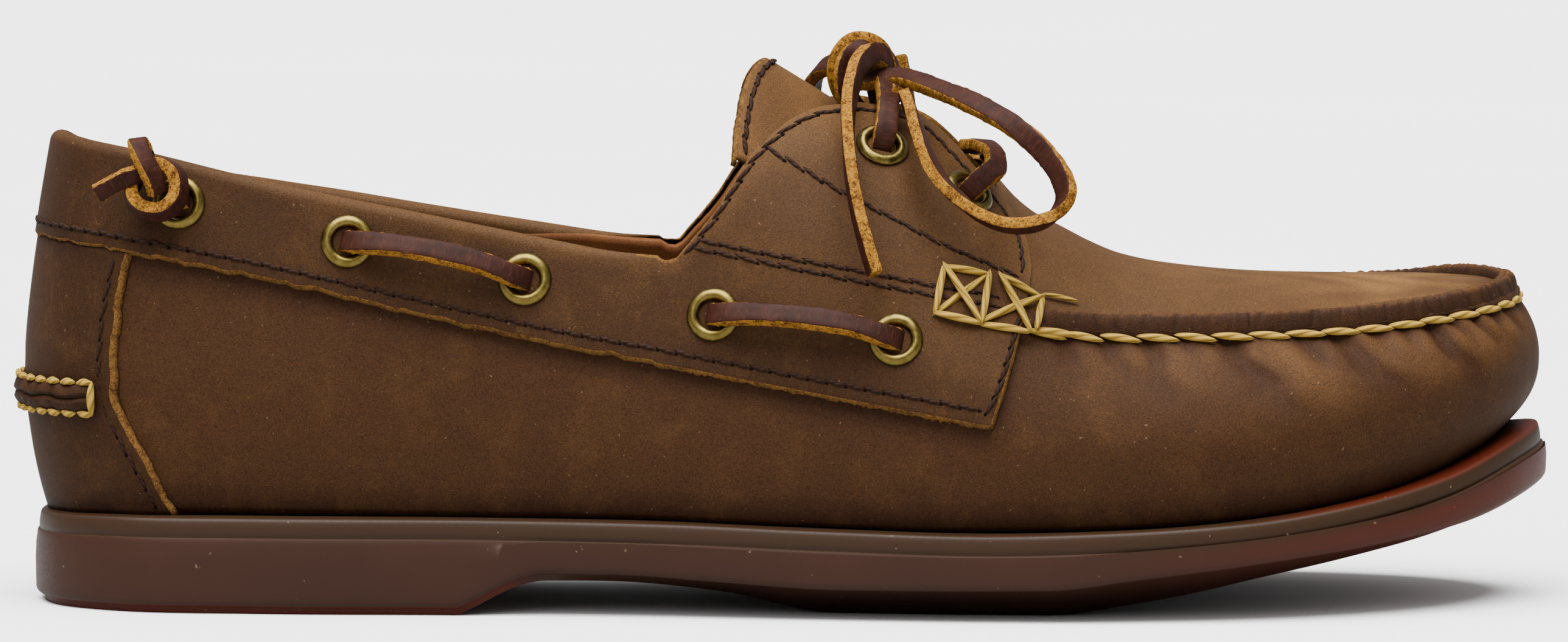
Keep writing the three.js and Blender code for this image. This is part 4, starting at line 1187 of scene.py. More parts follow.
# Creases that run down from the toe seam: where, how far towards the toe and down, how deep and how wide.
CREASES = {
    LATERAL: [
        (199, 5, 8, 0.35, 1.6), (208.5, 6, 9, 0.4, 1.6), (218, 3, 12, 0.55, 2.0), (225, 2, 7, 0.25, 1.8),
        (233, 13, 15, 0.9, 2.4), (240, 7, 10, 0.35, 1.8), (249, 5, 8, 0.3, 1.8), (256, 13, 13, 0.75, 2.3),
        (264, 9, 10, 0.4, 1.9), (270, 5, 8, 0.35, 1.6), (276, 8, 12, 0.9, 2.2), (281, 6, 9, 0.6, 1.7),
        (285.5, 5, 9, 0.7, 1.6), (289, 3, 8, 0.5, 1.5), (292.5, 2, 7, 0.4, 1.4),
    ],
    MEDIAL: [
        (200, 5, 9, 0.4, 1.8), (212, 4, 9, 0.35, 1.8), (224, 8, 12, 0.6, 2.2), (238, 10, 14, 0.8, 2.4),
        (247, 5, 8, 0.3, 1.8), (257, 9, 12, 0.7, 2.2), (266, 5, 9, 0.4, 1.8), (274, 7, 11, 0.8, 2.0),
        (281, 5, 9, 0.6, 1.8), (287, 3, 8, 0.6, 1.6), (292, 2, 7, 0.45, 1.5), (295.5, 1, 7, 0.4, 1.5),
    ],
}
GATHER_PITCH = 7.3  # one gather to each stitch of the toe seam


def pucker(way, z):
    """How far the vamp's creases and gathers push its face out, and the painted shade in their troughs and
    painted highlight on their swells.
    """
    far = toe_distance(way)
    below = shoulder(way) - z
    side = np.where(wrap(way) < 0, LATERAL, MEDIAL)
    push, wear = np.zeros(way.shape), np.zeros(way.shape)
    for sign, rows in CREASES.items():
        for x, run, drop, depth, width in rows:
            start = toe_distance(np.array([way_at(sign, x)]))[0]
            signed = np.where(side == sign, far, -far)
            q = np.clip(below / drop, 0, 1.4)
            wander = 0.5 * np.sin(below * 0.9 + x)
            off = (signed - (start - run * q) + wander) * math.cos(math.atan2(run, drop))
            fade = (1 - ease(0.35, 1.25, q)) * ease(-0.5, 1.5, below)
            spread = width * (0.8 + 0.5 * q)
            trough = hump(off, 0, spread) * fade
            swell = hump(off, -2.3 * spread, 1.9 * spread) * fade
            push += 1.3 * depth * (0.55 * swell - trough)
            # painted shade in each trough, painted highlight on the swell beside it
            wear += depth * (0.36 * swell - 0.5 * trough)
    under_seam = np.clip(below, 0, None)
    gathers = np.sin(far * 2 * math.pi / GATHER_PITCH) * np.exp(-under_seam / 5) * ease(135, 120, far)
    push += 0.16 * gathers
    wrinkle = np.sin(far * 4.1 + 1.6 * np.sin(below * 0.8)) * np.clip(wear * -3.0, 0, 1)
    push += 0.1 * wrinkle
    fine = np.sin(far * 1.9 + 2.0 * np.sin(far * 0.37)) * np.exp(-under_seam / 2.6) * ease(130, 118, far)
    push += 0.12 * fine
    return push, wear


def vamp_top(way):
    """The vamp's upper edge: hidden under the band, then up to the toe seam."""
    x = LAST_PLAN.at(way)[..., 0]
    hidden = height_on(BAND_LOWER, x) + 9
    rising = mix(hidden, shoulder(way), ease(172, 183, x))
    return np.where(x > 183, shoulder(way) + 0.2, np.minimum(rising, shoulder(way)))


def make_vamp():
    """The wall of the upper, with its creases, and painted shade just above the sole, under the band and under
    the seam.
    """
    across, along = 720, 46

    def place(i, j):
        way = wrap(-2 * i / across)
        low, high = foot_height(way) - 0.15, vamp_top(way)
        z = low + (high - low) * (1 - (1 - j / along) ** 1.25)
        push, wear = pucker(way, z)
        point = wall_face(way, z, push)
        x = point[:, 0]
        over_sole = z - foot_height(way)
        # Painted shade: darker just above the sole, just under the band's foot and just under the toe seam.
        wear = wear - 0.5 * ease(6, 0.5, over_sole) + 0.04
        under_band = height_on(BAND_LOWER, x) - z
        wear = wear - 0.25 * ease(5, 0, under_band) * ease(192, 186, x)
        wear = wear - 0.3 * ease(4, 0, shoulder(way) - z) * ease(188, 196, x)
        return point, wear

    piece = lay_grid("vamp", across, along, place, [MATERIALS["vamp"]])
    thicken(piece, 0.9)
    return keep(piece, "leather", "upper")


APRON_START = 0.545  # how far round the last the apron's free edge lies, under the throat


def make_apron():
    """The plug over the toes, rubbed pale where the toes lift it."""
    across, along = 90, 150

    def place(i, j):
        station = APRON_START + (1 - APRON_START) * (1 - (1 - j / along) ** 1.15)
        t = i / across
        p = roof_point(station, t)
        edge = np.minimum(t, 1 - t)
        x, y = p[:, 0], p[:, 1]
        pale = 0.85 * hump(x, 266, 19) * hump(y, 4, 24) + 0.2 * hump(x, 228, 12) * hump(y, -4, 16)
        along_wave = np.sin(x * 0.31 + 1.7 * np.sin(y * 0.21))
        across_wave = np.sin(y * 0.27 + 1.1 * np.sin(x * 0.17))
        wobble = 0.5 + 0.5 * along_wave * across_wave
        # Pale rubbed patches are wear; darker towards the tip; painted shade along both edges, beside the seam
        # ridge.
        wear = 0.2 + pale * (0.2 + 0.9 * wobble) - 0.3 * ease(272, 286, x) - 0.45 * ease(0.05, 0, edge)
        p[:, 2] -= 0.5 * np.exp(-edge * 60)
        return p, wear

    piece = lay_grid("apron", across, along, place, [MATERIALS["hide"]])
    thicken(piece, 1.6)
    return keep(piece, "leather")


# ---- Panels with raw edges ----
EDGE_STEPS = 3  # rows that a raw edge takes
EDGE_PROFILE = np.array([0.0, 0.62, 0.93, 1.0])  # how far each stands off the form
EDGE_REACH = np.array([0.0, 0.3, 0.68, 1.0])  # and how far in from the cut
RAGGED = 0.22  # how far a cut wavers


def edge_share(index, count, low, high, low_width, high_width):
    """A grid row's share of the panel, and how far up the raw edge it stands, 0 at the cut to 1 on the face."""
    first, last = (EDGE_STEPS if low else 0), count - (EDGE_STEPS if high else 0)
    start, end = (low_width if low else 0.0), (1 - high_width if high else 1.0)
    share = start + (end - start) * (index - first) / (last - first)
    lift = np.ones(index.shape)
    if low:
        k = np.clip(index, 0, EDGE_STEPS).astype(int)
        share = np.where(index < first, low_width * EDGE_REACH[k], share)
        lift = np.where(index < first, EDGE_PROFILE[k], lift)
    if high:
        k = np.clip(count - index, 0, EDGE_STEPS).astype(int)
        share = np.where(index > last, 1 - high_width * EDGE_REACH[k], share)
        lift = np.where(index > last, np.minimum(lift, EDGE_PROFILE[k]), lift)
    return share, lift


def ragged(seed):
    """A wavering cut, from a few sines with random phases."""
    rng = np.random.default_rng(seed)
    rates, phases = rng.uniform(0.2, 5.5, 14), rng.uniform(0, 7, 14)

    def waver(run):
        return sum(np.sin(run * r + p) / (1 + r) for r, p in zip(rates, phases)) * RAGGED

    return waver


def panel_materials():
    """The face of a panel and its cut edge."""
    return [MATERIALS["hide"], MATERIALS["edge"]]


# ---- Quarter band and saddles ----
WING, REAR = 120, 190  # columns of a saddle, and of the band between the two
BAND_ALONG = 64
ROLL_ROWS = 12
ROLL_START = 6  # rows below the collar that already belong to its roll
ROLL_LIP = 7.0  # how far the rolled collar runs down the inside
CUT_WIDTH = {"foot": 0.8, "top": 0.9, "throat": 0.25, "front": 0.9}  # how wide the raw edges are in side view
SADDLE_LENGTH = 66.0


def wing_outline(side, grow):
    """The four borders of a saddle in side view: its foot, its top, where it joins the band, and its front."""
    join_way = way_at(side, JOIN)
    low_x = LAST_PLAN.at(np.array([join_way]))[0, 0]
    heights = np.linspace(height_on(BAND_LOWER, low_x), height_on(COLLAR, low_x), 60)
    column = wall_face(np.full(60, join_way), heights, np.full(60, grow))[:, [0, 2]]
    foot = BAND_LOWER[BAND_LOWER[:, 0] > column[0, 0] + 0.5]
    foot = np.concatenate([column[:1], foot, SADDLE_FRONT[:1]])
    collar = COLLAR[(COLLAR[:, 0] > column[-1, 0] + 0.5)]
    top = np.concatenate([column[-1:], collar, SADDLE_BACK, THROAT_EDGE[::-1]])
    return foot, top, column, SADDLE_FRONT


def wing_place(outline, p, q):
    """A point of the saddle in side view, from its share along (p) and up (q)."""
    foot, top, back, front = outline
    low, high = along_line(foot, p), along_line(top, p)
    left, right = along_line(back, q), along_line(front, q)
    p, q = p[:, None], q[:, None]
    corners = (1 - p) * (1 - q) * foot[0] + p * (1 - q) * foot[-1] + (1 - p) * q * top[0] + p * q * top[-1]
    return (1 - q) * low + q * high + (1 - p) * left + p * right - corners


def rear_band(share, row, cut):
    """The band round the heel, medial to lateral, with its collar rolled over to the inside."""
    radius = (WALL + BAND_FACE) / 2
    way = mix(way_at(MEDIAL, JOIN), way_at(LATERAL, JOIN), share)
    x = LAST_PLAN.at(way)[:, 0]
    bottom = height_on(BAND_LOWER, x) + cut(x + share * 90)
    top = collar_height(way)
    height = top - bottom
    widths = CUT_WIDTH["foot"] / height, CUT_WIDTH["top"] / height
    q, lift = edge_share(np.minimum(row, BAND_ALONG), BAND_ALONG, True, True, *widths)
    # the roll: round over the edge, then down the inside
    first = BAND_ALONG - ROLL_START
    t = np.clip((row - first) / (BAND_ALONG + ROLL_ROWS - first), 0, 1)
    travel = t * (math.pi * radius + ROLL_LIP)
    arc = np.minimum(travel / radius, math.pi)
    drop = np.clip(travel - math.pi * radius, 0, None)
    rolled_z = top - radius + radius * np.sin(arc) - drop
    rolled_grow = BAND_FACE - radius + radius * np.cos(arc) - 0.45 * ease(0, 2, drop)
    # below it: the cut foot and the face
    low_share = np.clip((row - EDGE_STEPS) / (first - EDGE_STEPS), 0, 1)
    body_z = bottom + CUT_WIDTH["foot"] + (height - CUT_WIDTH["foot"] - radius) * low_share
    body_z = np.where(row < EDGE_STEPS, bottom + q * height, body_z)
    rolled_z = np.where(row <= first, body_z, rolled_z)
    rolled_grow = np.where(row <= first, GAP + LEATHER * lift, rolled_grow)
    # at both ends the roll flattens out into the saddles' cut edges
    fade = ease(0, 0.05, np.minimum(share, 1 - share))
    z = mix(bottom + q * height, rolled_z, fade)
    grow = mix(GAP + LEATHER * lift, rolled_grow, fade)
    up = (z - bottom) / height
    # Lighter towards the collar, darker near the foot, and painted shade towards the back of the heel, which
    # turns away from the light.
    wear = 0.3 * ease(0.75, 1.0, up) - 0.2 * ease(0.3, 0.06, up) - 0.2 * ease(60, 20, x)
    return wall_face(way, z, grow), wear


def saddle(side, outline, step, row, cut):
    """One saddle, from the join to its front, with raw edges all round but there."""
    p, lift_front = edge_share(step, WING, False, True, 0, CUT_WIDTH["front"] / SADDLE_LENGTH)
    p = np.clip(p, 0, 1)
    low, high = (wing_place(outline, p, np.full(len(p), end)) for end in (0.0, 1.0))
    height = np.linalg.norm(high - low, axis=1)
    over = mix(CUT_WIDTH["top"], CUT_WIDTH["throat"], ease(0.25, 0.55, p)) + 0.3 * ease(0.85, 0.97, p)
    widths = CUT_WIDTH["foot"] / height, over / height
    q, lift_side = edge_share(np.minimum(row, BAND_ALONG), BAND_ALONG, True, True, *widths)
    flat = wing_place(outline, p, np.clip(q, 0, 1))
    lift = np.minimum(lift_front, lift_side)
    flat[:, 1] += cut(flat[:, 0] * 1.7 + side * 31 + flat[:, 1]) * (1 - lift) * 0.8
    face, normal = side_face(side, flat[:, 0], flat[:, 1], BAND_FACE)
    # Painted light: lighter towards the front, where the side faces the light more; also lighter towards the
    # top edge and darker near the foot.
    wear = 0.12 * ease(123, 150, flat[:, 0]) + 0.3 * ease(0.75, 1.0, q) - 0.2 * ease(0.3, 0.06, q)
    return face - normal * (LEATHER * (1 - lift))[:, None], wear


def make_band():
    """The quarter band in one piece: medial saddle, round the heel, lateral saddle."""
    across = 2 * WING + REAR
    cut = ragged(4)
    outlines = {side: wing_outline(side, BAND_FACE) for side in (LATERAL, MEDIAL)}

    def place(i, j):
        points, wear = np.zeros((len(i), 3)), np.zeros(len(i))
        medial, lateral = i < WING, i > WING + REAR
        rear = ~medial & ~lateral
        points[rear], wear[rear] = rear_band((i[rear] - WING) / REAR, j[rear], cut)
        points[medial], wear[medial] = saddle(MEDIAL, outlines[MEDIAL], WING - i[medial], j[medial], cut)
        step = i[lateral] - WING - REAR
        points[lateral], wear[lateral] = saddle(LATERAL, outlines[LATERAL], step, j[lateral], cut)
        return points, wear

    def index(i, j):
        foot = j < EDGE_STEPS
        rim = (j >= BAND_ALONG - EDGE_STEPS) & ((i < WING) | (i >= WING + REAR - 2))
        front = (i < EDGE_STEPS) | (i >= across - EDGE_STEPS)
        return np.where(foot | rim | front, 1, 0)

    piece = lay_grid("quarter_band_leather", across, BAND_ALONG + ROLL_ROWS, place, panel_materials(), index)
    thicken(piece, 0.3)
    return keep(piece, "leather", "quarter_band")


LINING_REACH = (0.97, 0.965)  # how far along and up a saddle its lining goes


def make_lining():
    """The lining under band and saddles, from the sock up to the collar."""
    wing, rear = 70, 160
    across, along = 2 * wing + rear, 40
    outlines = {side: wing_outline(side, 0.0) for side in (LATERAL, MEDIAL)}

    def place(i, j):
        points = np.zeros((len(i), 3))
        here = (i >= wing) & (i <= wing + rear)
        share = (i[here] - wing) / rear
        way = mix(way_at(MEDIAL, JOIN), way_at(LATERAL, JOIN), share)
        fade = ease(0.03, 0.1, np.minimum(share, 1 - share))
        low, high = foot_height(way) + 0.5, collar_height(way) - mix(0.4, 3.2, fade)
        z = mix(low, high, j[here] / along)
        points[here] = wall_face(way, z, np.full(len(z), -WALL))
        for side, here in ((MEDIAL, i < wing), (LATERAL, i > wing + rear)):
            p = 1 - i[here] / wing if side == MEDIAL else (i[here] - wing - rear) / wing
            p = np.clip(p * LINING_REACH[0], 0, 1)
            q = j[here] / along
            flat = wing_place(outlines[side], p, np.clip(q * LINING_REACH[1], 0, 1))
            floor = FEATHER.at("height", flat[:, 0]) + 0.5
            foot = wing_place(outlines[side], p, np.zeros(len(p)))[:, 1]
            flat[:, 1] = flat[:, 1] - (foot - floor) * (1 - q)
            face, normal = side_face(side, flat[:, 0], flat[:, 1], BAND_FACE)
            points[here] = face - normal * (BAND_FACE + WALL)
        return points

    piece = lay_grid("quarter_lining", across, along, place, [MATERIALS["lining"]])
    piece.data.flip_normals()
    thicken(piece, WALL - 0.3)
    return keep(piece, "lining")


# ---- Heel counter and its sewn roll ----
HEEL_ROLL = {"height": 41.4, "half": 2.9, "proud": 2.7, "reach": 0.128}


def make_counter():
    """The back stay, raw at its two front edges and bedded under the band and the roll."""
    across, along = 150, 46
    cut = ragged(9)
    edge_width = 1.05
    low, high = 18.6, height_on(BAND_LOWER, 10.0) - GAP  # rough heights, from which the front edge is read

    def place(i, j):
        q = j / along
        steps = np.minimum(i, across - i)
        k = np.clip(steps, 0, EDGE_STEPS).astype(int)
        inside = steps < EDGE_STEPS
        z = low + (high - low) * q
        x_edge = counter_front(z) + cut(z * 1.3) * 0.9
        body = (i - EDGE_STEPS) / (across - 2 * EDGE_STEPS)
        medial, lateral = (way_at(side, x_edge - edge_width) for side in (MEDIAL, LATERAL))
        way = mix(medial, lateral, np.clip(body, 0, 1))
        rim_x = x_edge - edge_width * EDGE_REACH[k]
        rim = np.where(i < across / 2, way_at(MEDIAL, rim_x), way_at(LATERAL, rim_x))
        way = np.where(inside, rim, way)
        top = height_on(BAND_LOWER, LAST_PLAN.at(way)[:, 0]) + 0.4
        bottom = foot_height(way) - 0.1
        z = bottom + (top - bottom) * q
        lift = np.where(inside, EDGE_PROFILE[k], 1.0)
        roll = hump(z, HEEL_ROLL["height"], 4.6) * ease(0.165, 0.13, np.abs(way))
        grow = GAP + COUNTER * lift + 0.35 * roll
        # Painted shade just above the sole, under the band's foot and under the roll, and darker all over.
        wear = -0.6 * ease(6, 0, z - bottom) - 0.3 * ease(4, 0, top - z) - 0.22 - 0.35 * roll
        return wall_face(way, z, grow), wear

    def index(i, j):
        return np.where((i < EDGE_STEPS) | (i >= across - EDGE_STEPS), 1, 0)

    piece = lay_grid("heel_counter_leather", across, along, place, panel_materials(), index)
    thicken(piece, 0.3)
    return keep(piece, "leather", "heel_counter")


HEEL_PITCH = 3.9  # of the stitches along the roll


def heel_reach(steps):
    """How far the roll runs round the back of the last on one side."""
    return lengths(LAST_PLAN.at(np.linspace(0, HEEL_ROLL["reach"], steps)))[-1]


def make_heel_roll():
    """The hand-sewn roll: two lips drawn together, scalloped by their stitches."""
    across, profile_count = 110, 22
    half, proud, reach = HEEL_ROLL["half"], HEEL_ROLL["proud"], HEEL_ROLL["reach"]
    base = GAP + COUNTER - 0.2
    cut = ragged(12)
    run = heel_reach(50)

    def place(i, j):
        way = mix(reach, -reach, i / across)
        t = j / profile_count
        up = -half * np.cos(np.pi * t)
        body = np.sin(np.pi * t) ** 0.75
        lip = 1 - 0.32 * hump(t, 0.5, 0.045)
        arc = run * way / reach
        scallop = 1 - 0.13 * (0.5 + 0.5 * np.cos(arc * 2 * math.pi / HEEL_PITCH)) * np.abs(np.cos(np.pi * t))
        end = ease(0, 0.03, np.minimum(i, across - i) / across)
        grow = base + (proud + 0.1) * body * lip * scallop * (0.35 + 0.65 * end) + 0.5 * cut(arc * 2) * body
        z = HEEL_ROLL["height"] + up * (0.9 + 0.1 * end) + 0.25 * np.sin(arc * 0.6)
        # Painted shade in the groove between the two lips, and a slow wave of tone along the roll.
        wear = -0.25 * hump(t, 0.5, 0.06) + 0.1 * np.sin(arc) * body
        return wall_face(way, z, grow), wear

    piece = lay_grid("heel_roll_leather", across, profile_count, place, [MATERIALS["ridge"]])
    thicken(piece, 0.5)
    return keep(piece, "seam_leather", "heel_roll")


# ---- Seam ridge ----
# The ridge's section: inwards from the shoulder, and up.
RIDGE_PROFILE = np.array(
    [(-0.45, -0.6), (-0.5, 0.3), (-0.42, 1.3), (-0.25, 2.3), (0.0, 3.1), (0.3, 3.55), (0.75, 3.72),
     (1.2, 3.62), (1.45, 3.5), (1.75, 3.66), (2.2, 3.62), (2.55, 3.2), (2.75, 2.4), (2.85, 1.4),
     (2.9, 0.4), (3.0, -0.6)]
)
FOLDS = 90  # gathers that the seam draws into the ridge
FOLD_SEED = 21


def ridge_ways(count):
    """Ways round the toe, evenly spaced by distance, from the lateral start to the medial one."""
    far = toe_distance(np.array([LATERAL * SEAM_START, MEDIAL * SEAM_START]))
    signed = np.linspace(far[0], -far[1], count)
    return np.where(signed > 0, way_from_toe(LATERAL, signed), way_from_toe(MEDIAL, -signed)), signed


def make_ridge():
    """The raised toe seam, gathered by its thread."""
    across, along = 560, len(RIDGE_PROFILE) - 1
    ways, signed = ridge_ways(across + 1)
    rng = np.random.default_rng(FOLD_SEED)
    folds = np.cumsum(rng.uniform(2.0, 5.2, FOLDS)) + signed[-1]
    depths = rng.uniform(0.12, 0.5, FOLDS)
    widths = rng.uniform(0.3, 0.75, FOLDS)
    lift_wave = ragged(7)

    def place(i, j):
        i, j = i.astype(int), j.astype(int)
        way, run = ways[i], signed[i]
        a, b = RIDGE_PROFILE[j].T
        crease = np.zeros(len(i))
        for centre, depth, width in zip(folds, depths, widths):
            lean = 0.35 * (b - 1.5) * math.sin(centre)
            crease += depth * hump(run + lean, centre, width)
        swell = 0.35 * np.sin(run * 2 * math.pi / GATHER_PITCH + 0.6)
        outer = ease(1.4, 0.2, a)
        start = ease(0, 0.02, np.minimum(i, across - i) / across)
        a = mix(1.2, a, 0.5 + 0.5 * start) + outer * (0.55 * crease - 0.25 * swell) * ease(-0.4, 0.8, b)
        b = b * (0.55 + 0.45 * start) + (lift_wave(run * 1.1) * 0.7 - 0.4 * crease) * ease(1.5, 3.5, b)
        point = wall_point(way, shoulder(way))
        point[:, :2] += LAST_PLAN.inward(way) * a[:, None]
        point[:, 2] += b - 0.9 * (way > 0) * ease(285, 268, point[:, 0])
        # Painted shade in the folds of the gathers and at the ridge's foot; lighter along its crest.
        wear = -0.55 * np.clip(crease * 1.4, 0, 1) * outer + 0.4 * ease(3.45, 3.7, b) - 0.3 * ease(1.0, 0.0, b)
        return point, wear

    piece = lay_grid("seam_ridge_leather", across, along, place, [MATERIALS["ridge"]])
    piece.data.flip_normals()
    thicken(piece, 0.5)
    return keep(piece, "seam_leather", "seam_ridge")


# ---- Tongue ----
# One row for each section: height of its ridge, half width, and how far its sides fall below the ridge.
TONGUE_ROWS = Table(
    "heel ridge half fall",
    [(143.6, 107.2, 27.5, 18), (150, 103.2, 27.5, 17.5), (158, 98, 27, 17), (167, 92.2, 26, 15.5),
     (176, 86.2, 24.5, 13.5), (185, 80.8, 22, 11.5), (193, 75.4, 19, 8.5), (203, 69.5, 16, 6)],
)
TONGUE_END, TONGUE_FRONT = 143.6, 202.0
END_WIDTH = 1.3  # of the raw edge at its free end


def tongue_back(t):
    """How far the tongue's free end curves back at a share, -1 to 1, of its half width."""
    return 6.4 * (1 - (1 - np.sqrt(t * t + 0.004)).clip(0) ** 1.6)


def make_tongue():
    """The tongue, arched over the foot and raw at its free end."""
    across, along = 80, 70
    cut = ragged(15)

    def place(i, j):
        k = np.clip(j, 0, EDGE_STEPS).astype(int)
        inside = j < EDGE_STEPS
        share = (j - EDGE_STEPS) / (along - EDGE_STEPS)
        body = TONGUE_END + END_WIDTH + (TONGUE_FRONT - TONGUE_END - END_WIDTH) * share
        heel = np.where(inside, TONGUE_END + END_WIDTH * EDGE_REACH[k], body)
        t = 2 * i / across - 1
        half = TONGUE_ROWS.at("half", heel) - 0.4
        ridge = TONGUE_ROWS.at("ridge", heel)
        fall = TONGUE_ROWS.at("fall", heel)
        lift = np.where(inside, EDGE_PROFILE[k], 1.0)
        back = tongue_back(t) + 0.7 * cut(t * 30) * (1 - lift)
        sink = 2.2 * (1 - lift)
        curl = 0.8 * ease(152, 144, heel) * (0.5 - 0.5 * np.cos(t * 3.0))
        x = heel - back
        y = MIDDLE + half * t
        z = ridge - fall * t * t - sink - curl * 0.4 + 0.25 * np.sin(t * 5 + heel * 0.12)
        # Paler all over, and more at its free end: painted light where the tongue faces up.
        wear = 0.42 + 0.08 * np.sin(heel * 0.3 + t * 4) + 0.1 * ease(150, 145, heel)
        return np.stack([x, y, z], -1), wear

    def index(i, j):
        return np.where(j < EDGE_STEPS, 1, 0)

    piece = lay_grid("tongue_leather", across, along, place, panel_materials(), index)
    turn_towards(piece, len(piece.data.polygons) // 2, (0, 0, 1))
    thicken(piece, 1.0)
    return keep(piece, "leather", "tongue")


# ---- Eyelets ----
EYELETS = {
    "heel": (30.3, 79.4), "side_1": (63.1, 72.1), "side_2": (97.4, 65.0), "side_3": (133.8, 58.6),
    "side_4": (168.9, 54.2), "throat_back": (166.4, 90.4), "throat_front": (183.2, 81.4),
}
# The ring's section from inside the barrel, up over the roll and down to the leather: radius and height.
EYELET_PROFILE = [
    (2.75, -3.6), (2.75, -0.4), (2.85, 0.2), (3.05, 0.7), (3.4, 1.05), (3.85, 1.2), (4.35, 1.1), (4.8, 0.8),
    (5.1, 0.45), (5.2, 0.2), (5.15, 0.0), (5.0, -0.25),
]
_eyelet_frames = {}


def eyelet_frame(side, name):
    """Where an eyelet sits on the leather, and the way it faces."""
    key = (side, name)
    if key not in _eyelet_frames:
        x, z = EYELETS[name]
        z -= MEDIAL_HEEL_DROP if side == MEDIAL and name == "heel" else 0
        at, out = side_face(side, np.array([x]), np.array([z]), BAND_FACE)
        _eyelet_frames[key] = (at[0], unit(out[0]))
    return _eyelet_frames[key]


EYELET_TURNS = 40
# A disc of painted shadow, standing for the dark inside the eyelet's hole.
HOLE_SHADOW_PROFILE = [(0.0, -2.6), (3.1, -2.6)]  # the dark disc at the bottom of the barrel


def round_sheet(name, at, out, profile, material, angle):
    """A sheet turned about an eyelet's axis, from its section."""
    profile = np.array(profile)
    turn = 2 * math.pi * np.arange(EYELET_TURNS + 1) / EYELET_TURNS
    across = unit(np.cross([0, 0, 1.0], out))
    up = np.cross(out, across)

    def place(i, j):
        a = turn[i.astype(int)]
        r, h = profile[j.astype(int)].T
        flat = across * (np.cos(a) * r)[:, None] + up * (np.sin(a) * r)[:, None]
        return at + flat + out * h[:, None]

    return lay_grid(name, EYELET_TURNS, len(profile) - 1, place, [material], angle=angle)


def make_eyelets():
    """The brass rings, each with a disc of painted shadow in its hole behind it."""
    for side_name, side in SIDES.items():
        for name in EYELETS:
            at, out = eyelet_frame(side, name)
            label = f"{side_name}_{name}"
            ring = round_sheet(f"brass_eyelet_{label}", at, out, EYELET_PROFILE, MATERIALS["brass"], 60)
            turn_towards(ring, EYELET_TURNS * 6 + 3, out)
            thicken(ring, 0.3)
            keep(ring, "brass", f"eyelet_{label}")
            disc = round_sheet(f"eyelet_shadow_{label}", at, out, HOLE_SHADOW_PROFILE, MATERIALS["hole"], 40)
            turn_towards(disc, 0, out)
            thicken(disc, 0.2)
            keep(disc, "leather")


# ---- Lace through the eyelets ----
def make_side_laces():
    """The lace's bars between the side eyelets, bowed out of the barrels."""
    for side_name, side in SIDES.items():
        for start, end, name in (("side_1", "side_2", "back"), ("side_3", "side_4", "front")):
            (a, out_a), (b, out_b) = eyelet_frame(side, start), eyelet_frame(side, end)
            along = unit(b - a)
            path = [
                a - out_a * 3.4 - along * 0.4, a - out_a * 0.2 - along * 0.2, a + out_a * 2.2 + along * 2.2,
                mix(a, b, 0.25) + out_a * 3.5 + np.array([0, 0, 0.7]),
                mix(a, b, 0.5) + unit(out_a + out_b) * 4.0 + np.array([0, 0, 1.1]),
                mix(a, b, 0.75) + out_b * 3.5 + np.array([0, 0, 0.9]),
                b + out_b * 2.2 - along * 2.2, b - out_b * 0.2 + along * 0.2, b - out_b * 3.4 + along * 0.4,
            ]
            lean = np.array([0, 0, 0.42])
            faces = [
                -along, unit(out_a * 0.4 - along), unit(out_a - along * 0.5) + lean * 0.4, out_a + lean,
                unit(out_a + out_b) + lean, out_b + lean, unit(out_b + along * 0.5) + lean * 0.4,
                unit(out_b * 0.4 + along), along,
            ]
            piece, _ = strap(f"side_lace_{side_name}_{name}", path, faces, seed=3 + side)
            keep(piece, "lace", f"lace_bar_{side_name}_{name}")


def make_crossings():
    """The lace over the tongue: up out of one eyelet of a pair, over the throat and down into the other."""
    routes = {
        "front": [(188.2, 24.6, 85.6), (188.3, 20.8, 88.4), (186.4, 16.0, 89.8), (184.6, 9, 89.4),
                  (183.8, 0, 88.8)],
        "back": [(167.6, 17.6, 99.6), (167.2, 13.5, 101.6), (166.8, 7.5, 101.2), (166.4, 0, 101.0)],
    }
    for name, way_over in routes.items():
        halves = {}
        for side in (LATERAL, MEDIAL):
            at, out = eyelet_frame(side, "throat_" + name)
            first = np.array(way_over[0]) * [1, side, 1] + [0, MIDDLE, 0]
            rise = unit(first - at)
            path = [at - out * 3.2 - rise * 0.3, at + out * 0.2, at + out * 2.0 + rise * 2.6]
            path.append(mix(at + out * 2.6, first, 0.62) + out * 0.8)
            path += [np.array(p) * [1, side, 1] + [0, MIDDLE, 0] for p in way_over]
            face = [-rise, unit(out * 0.5 - rise), out, out]
            face += [unit(out + [0.3, 0, 0.4]), unit(out + [0.6, 0, 1.6])]
            face += [np.array([0.15, side * 0.2, 1.0])] * (len(path) - len(face))
            if side == MEDIAL:
                path = [p - [0, 0, 1.6 * ease(0, 12, p[1])] if k > 2 else p for k, p in enumerate(path)]
            halves[side] = (path, face)
        path = halves[LATERAL][0] + halves[MEDIAL][0][-2::-1]
        face = halves[LATERAL][1] + halves[MEDIAL][1][-2::-1]
        piece, _ = strap(f"throat_lace_{name}", path, face, seed=9)
        keep(piece, "lace", f"lace_crossing_{name}")


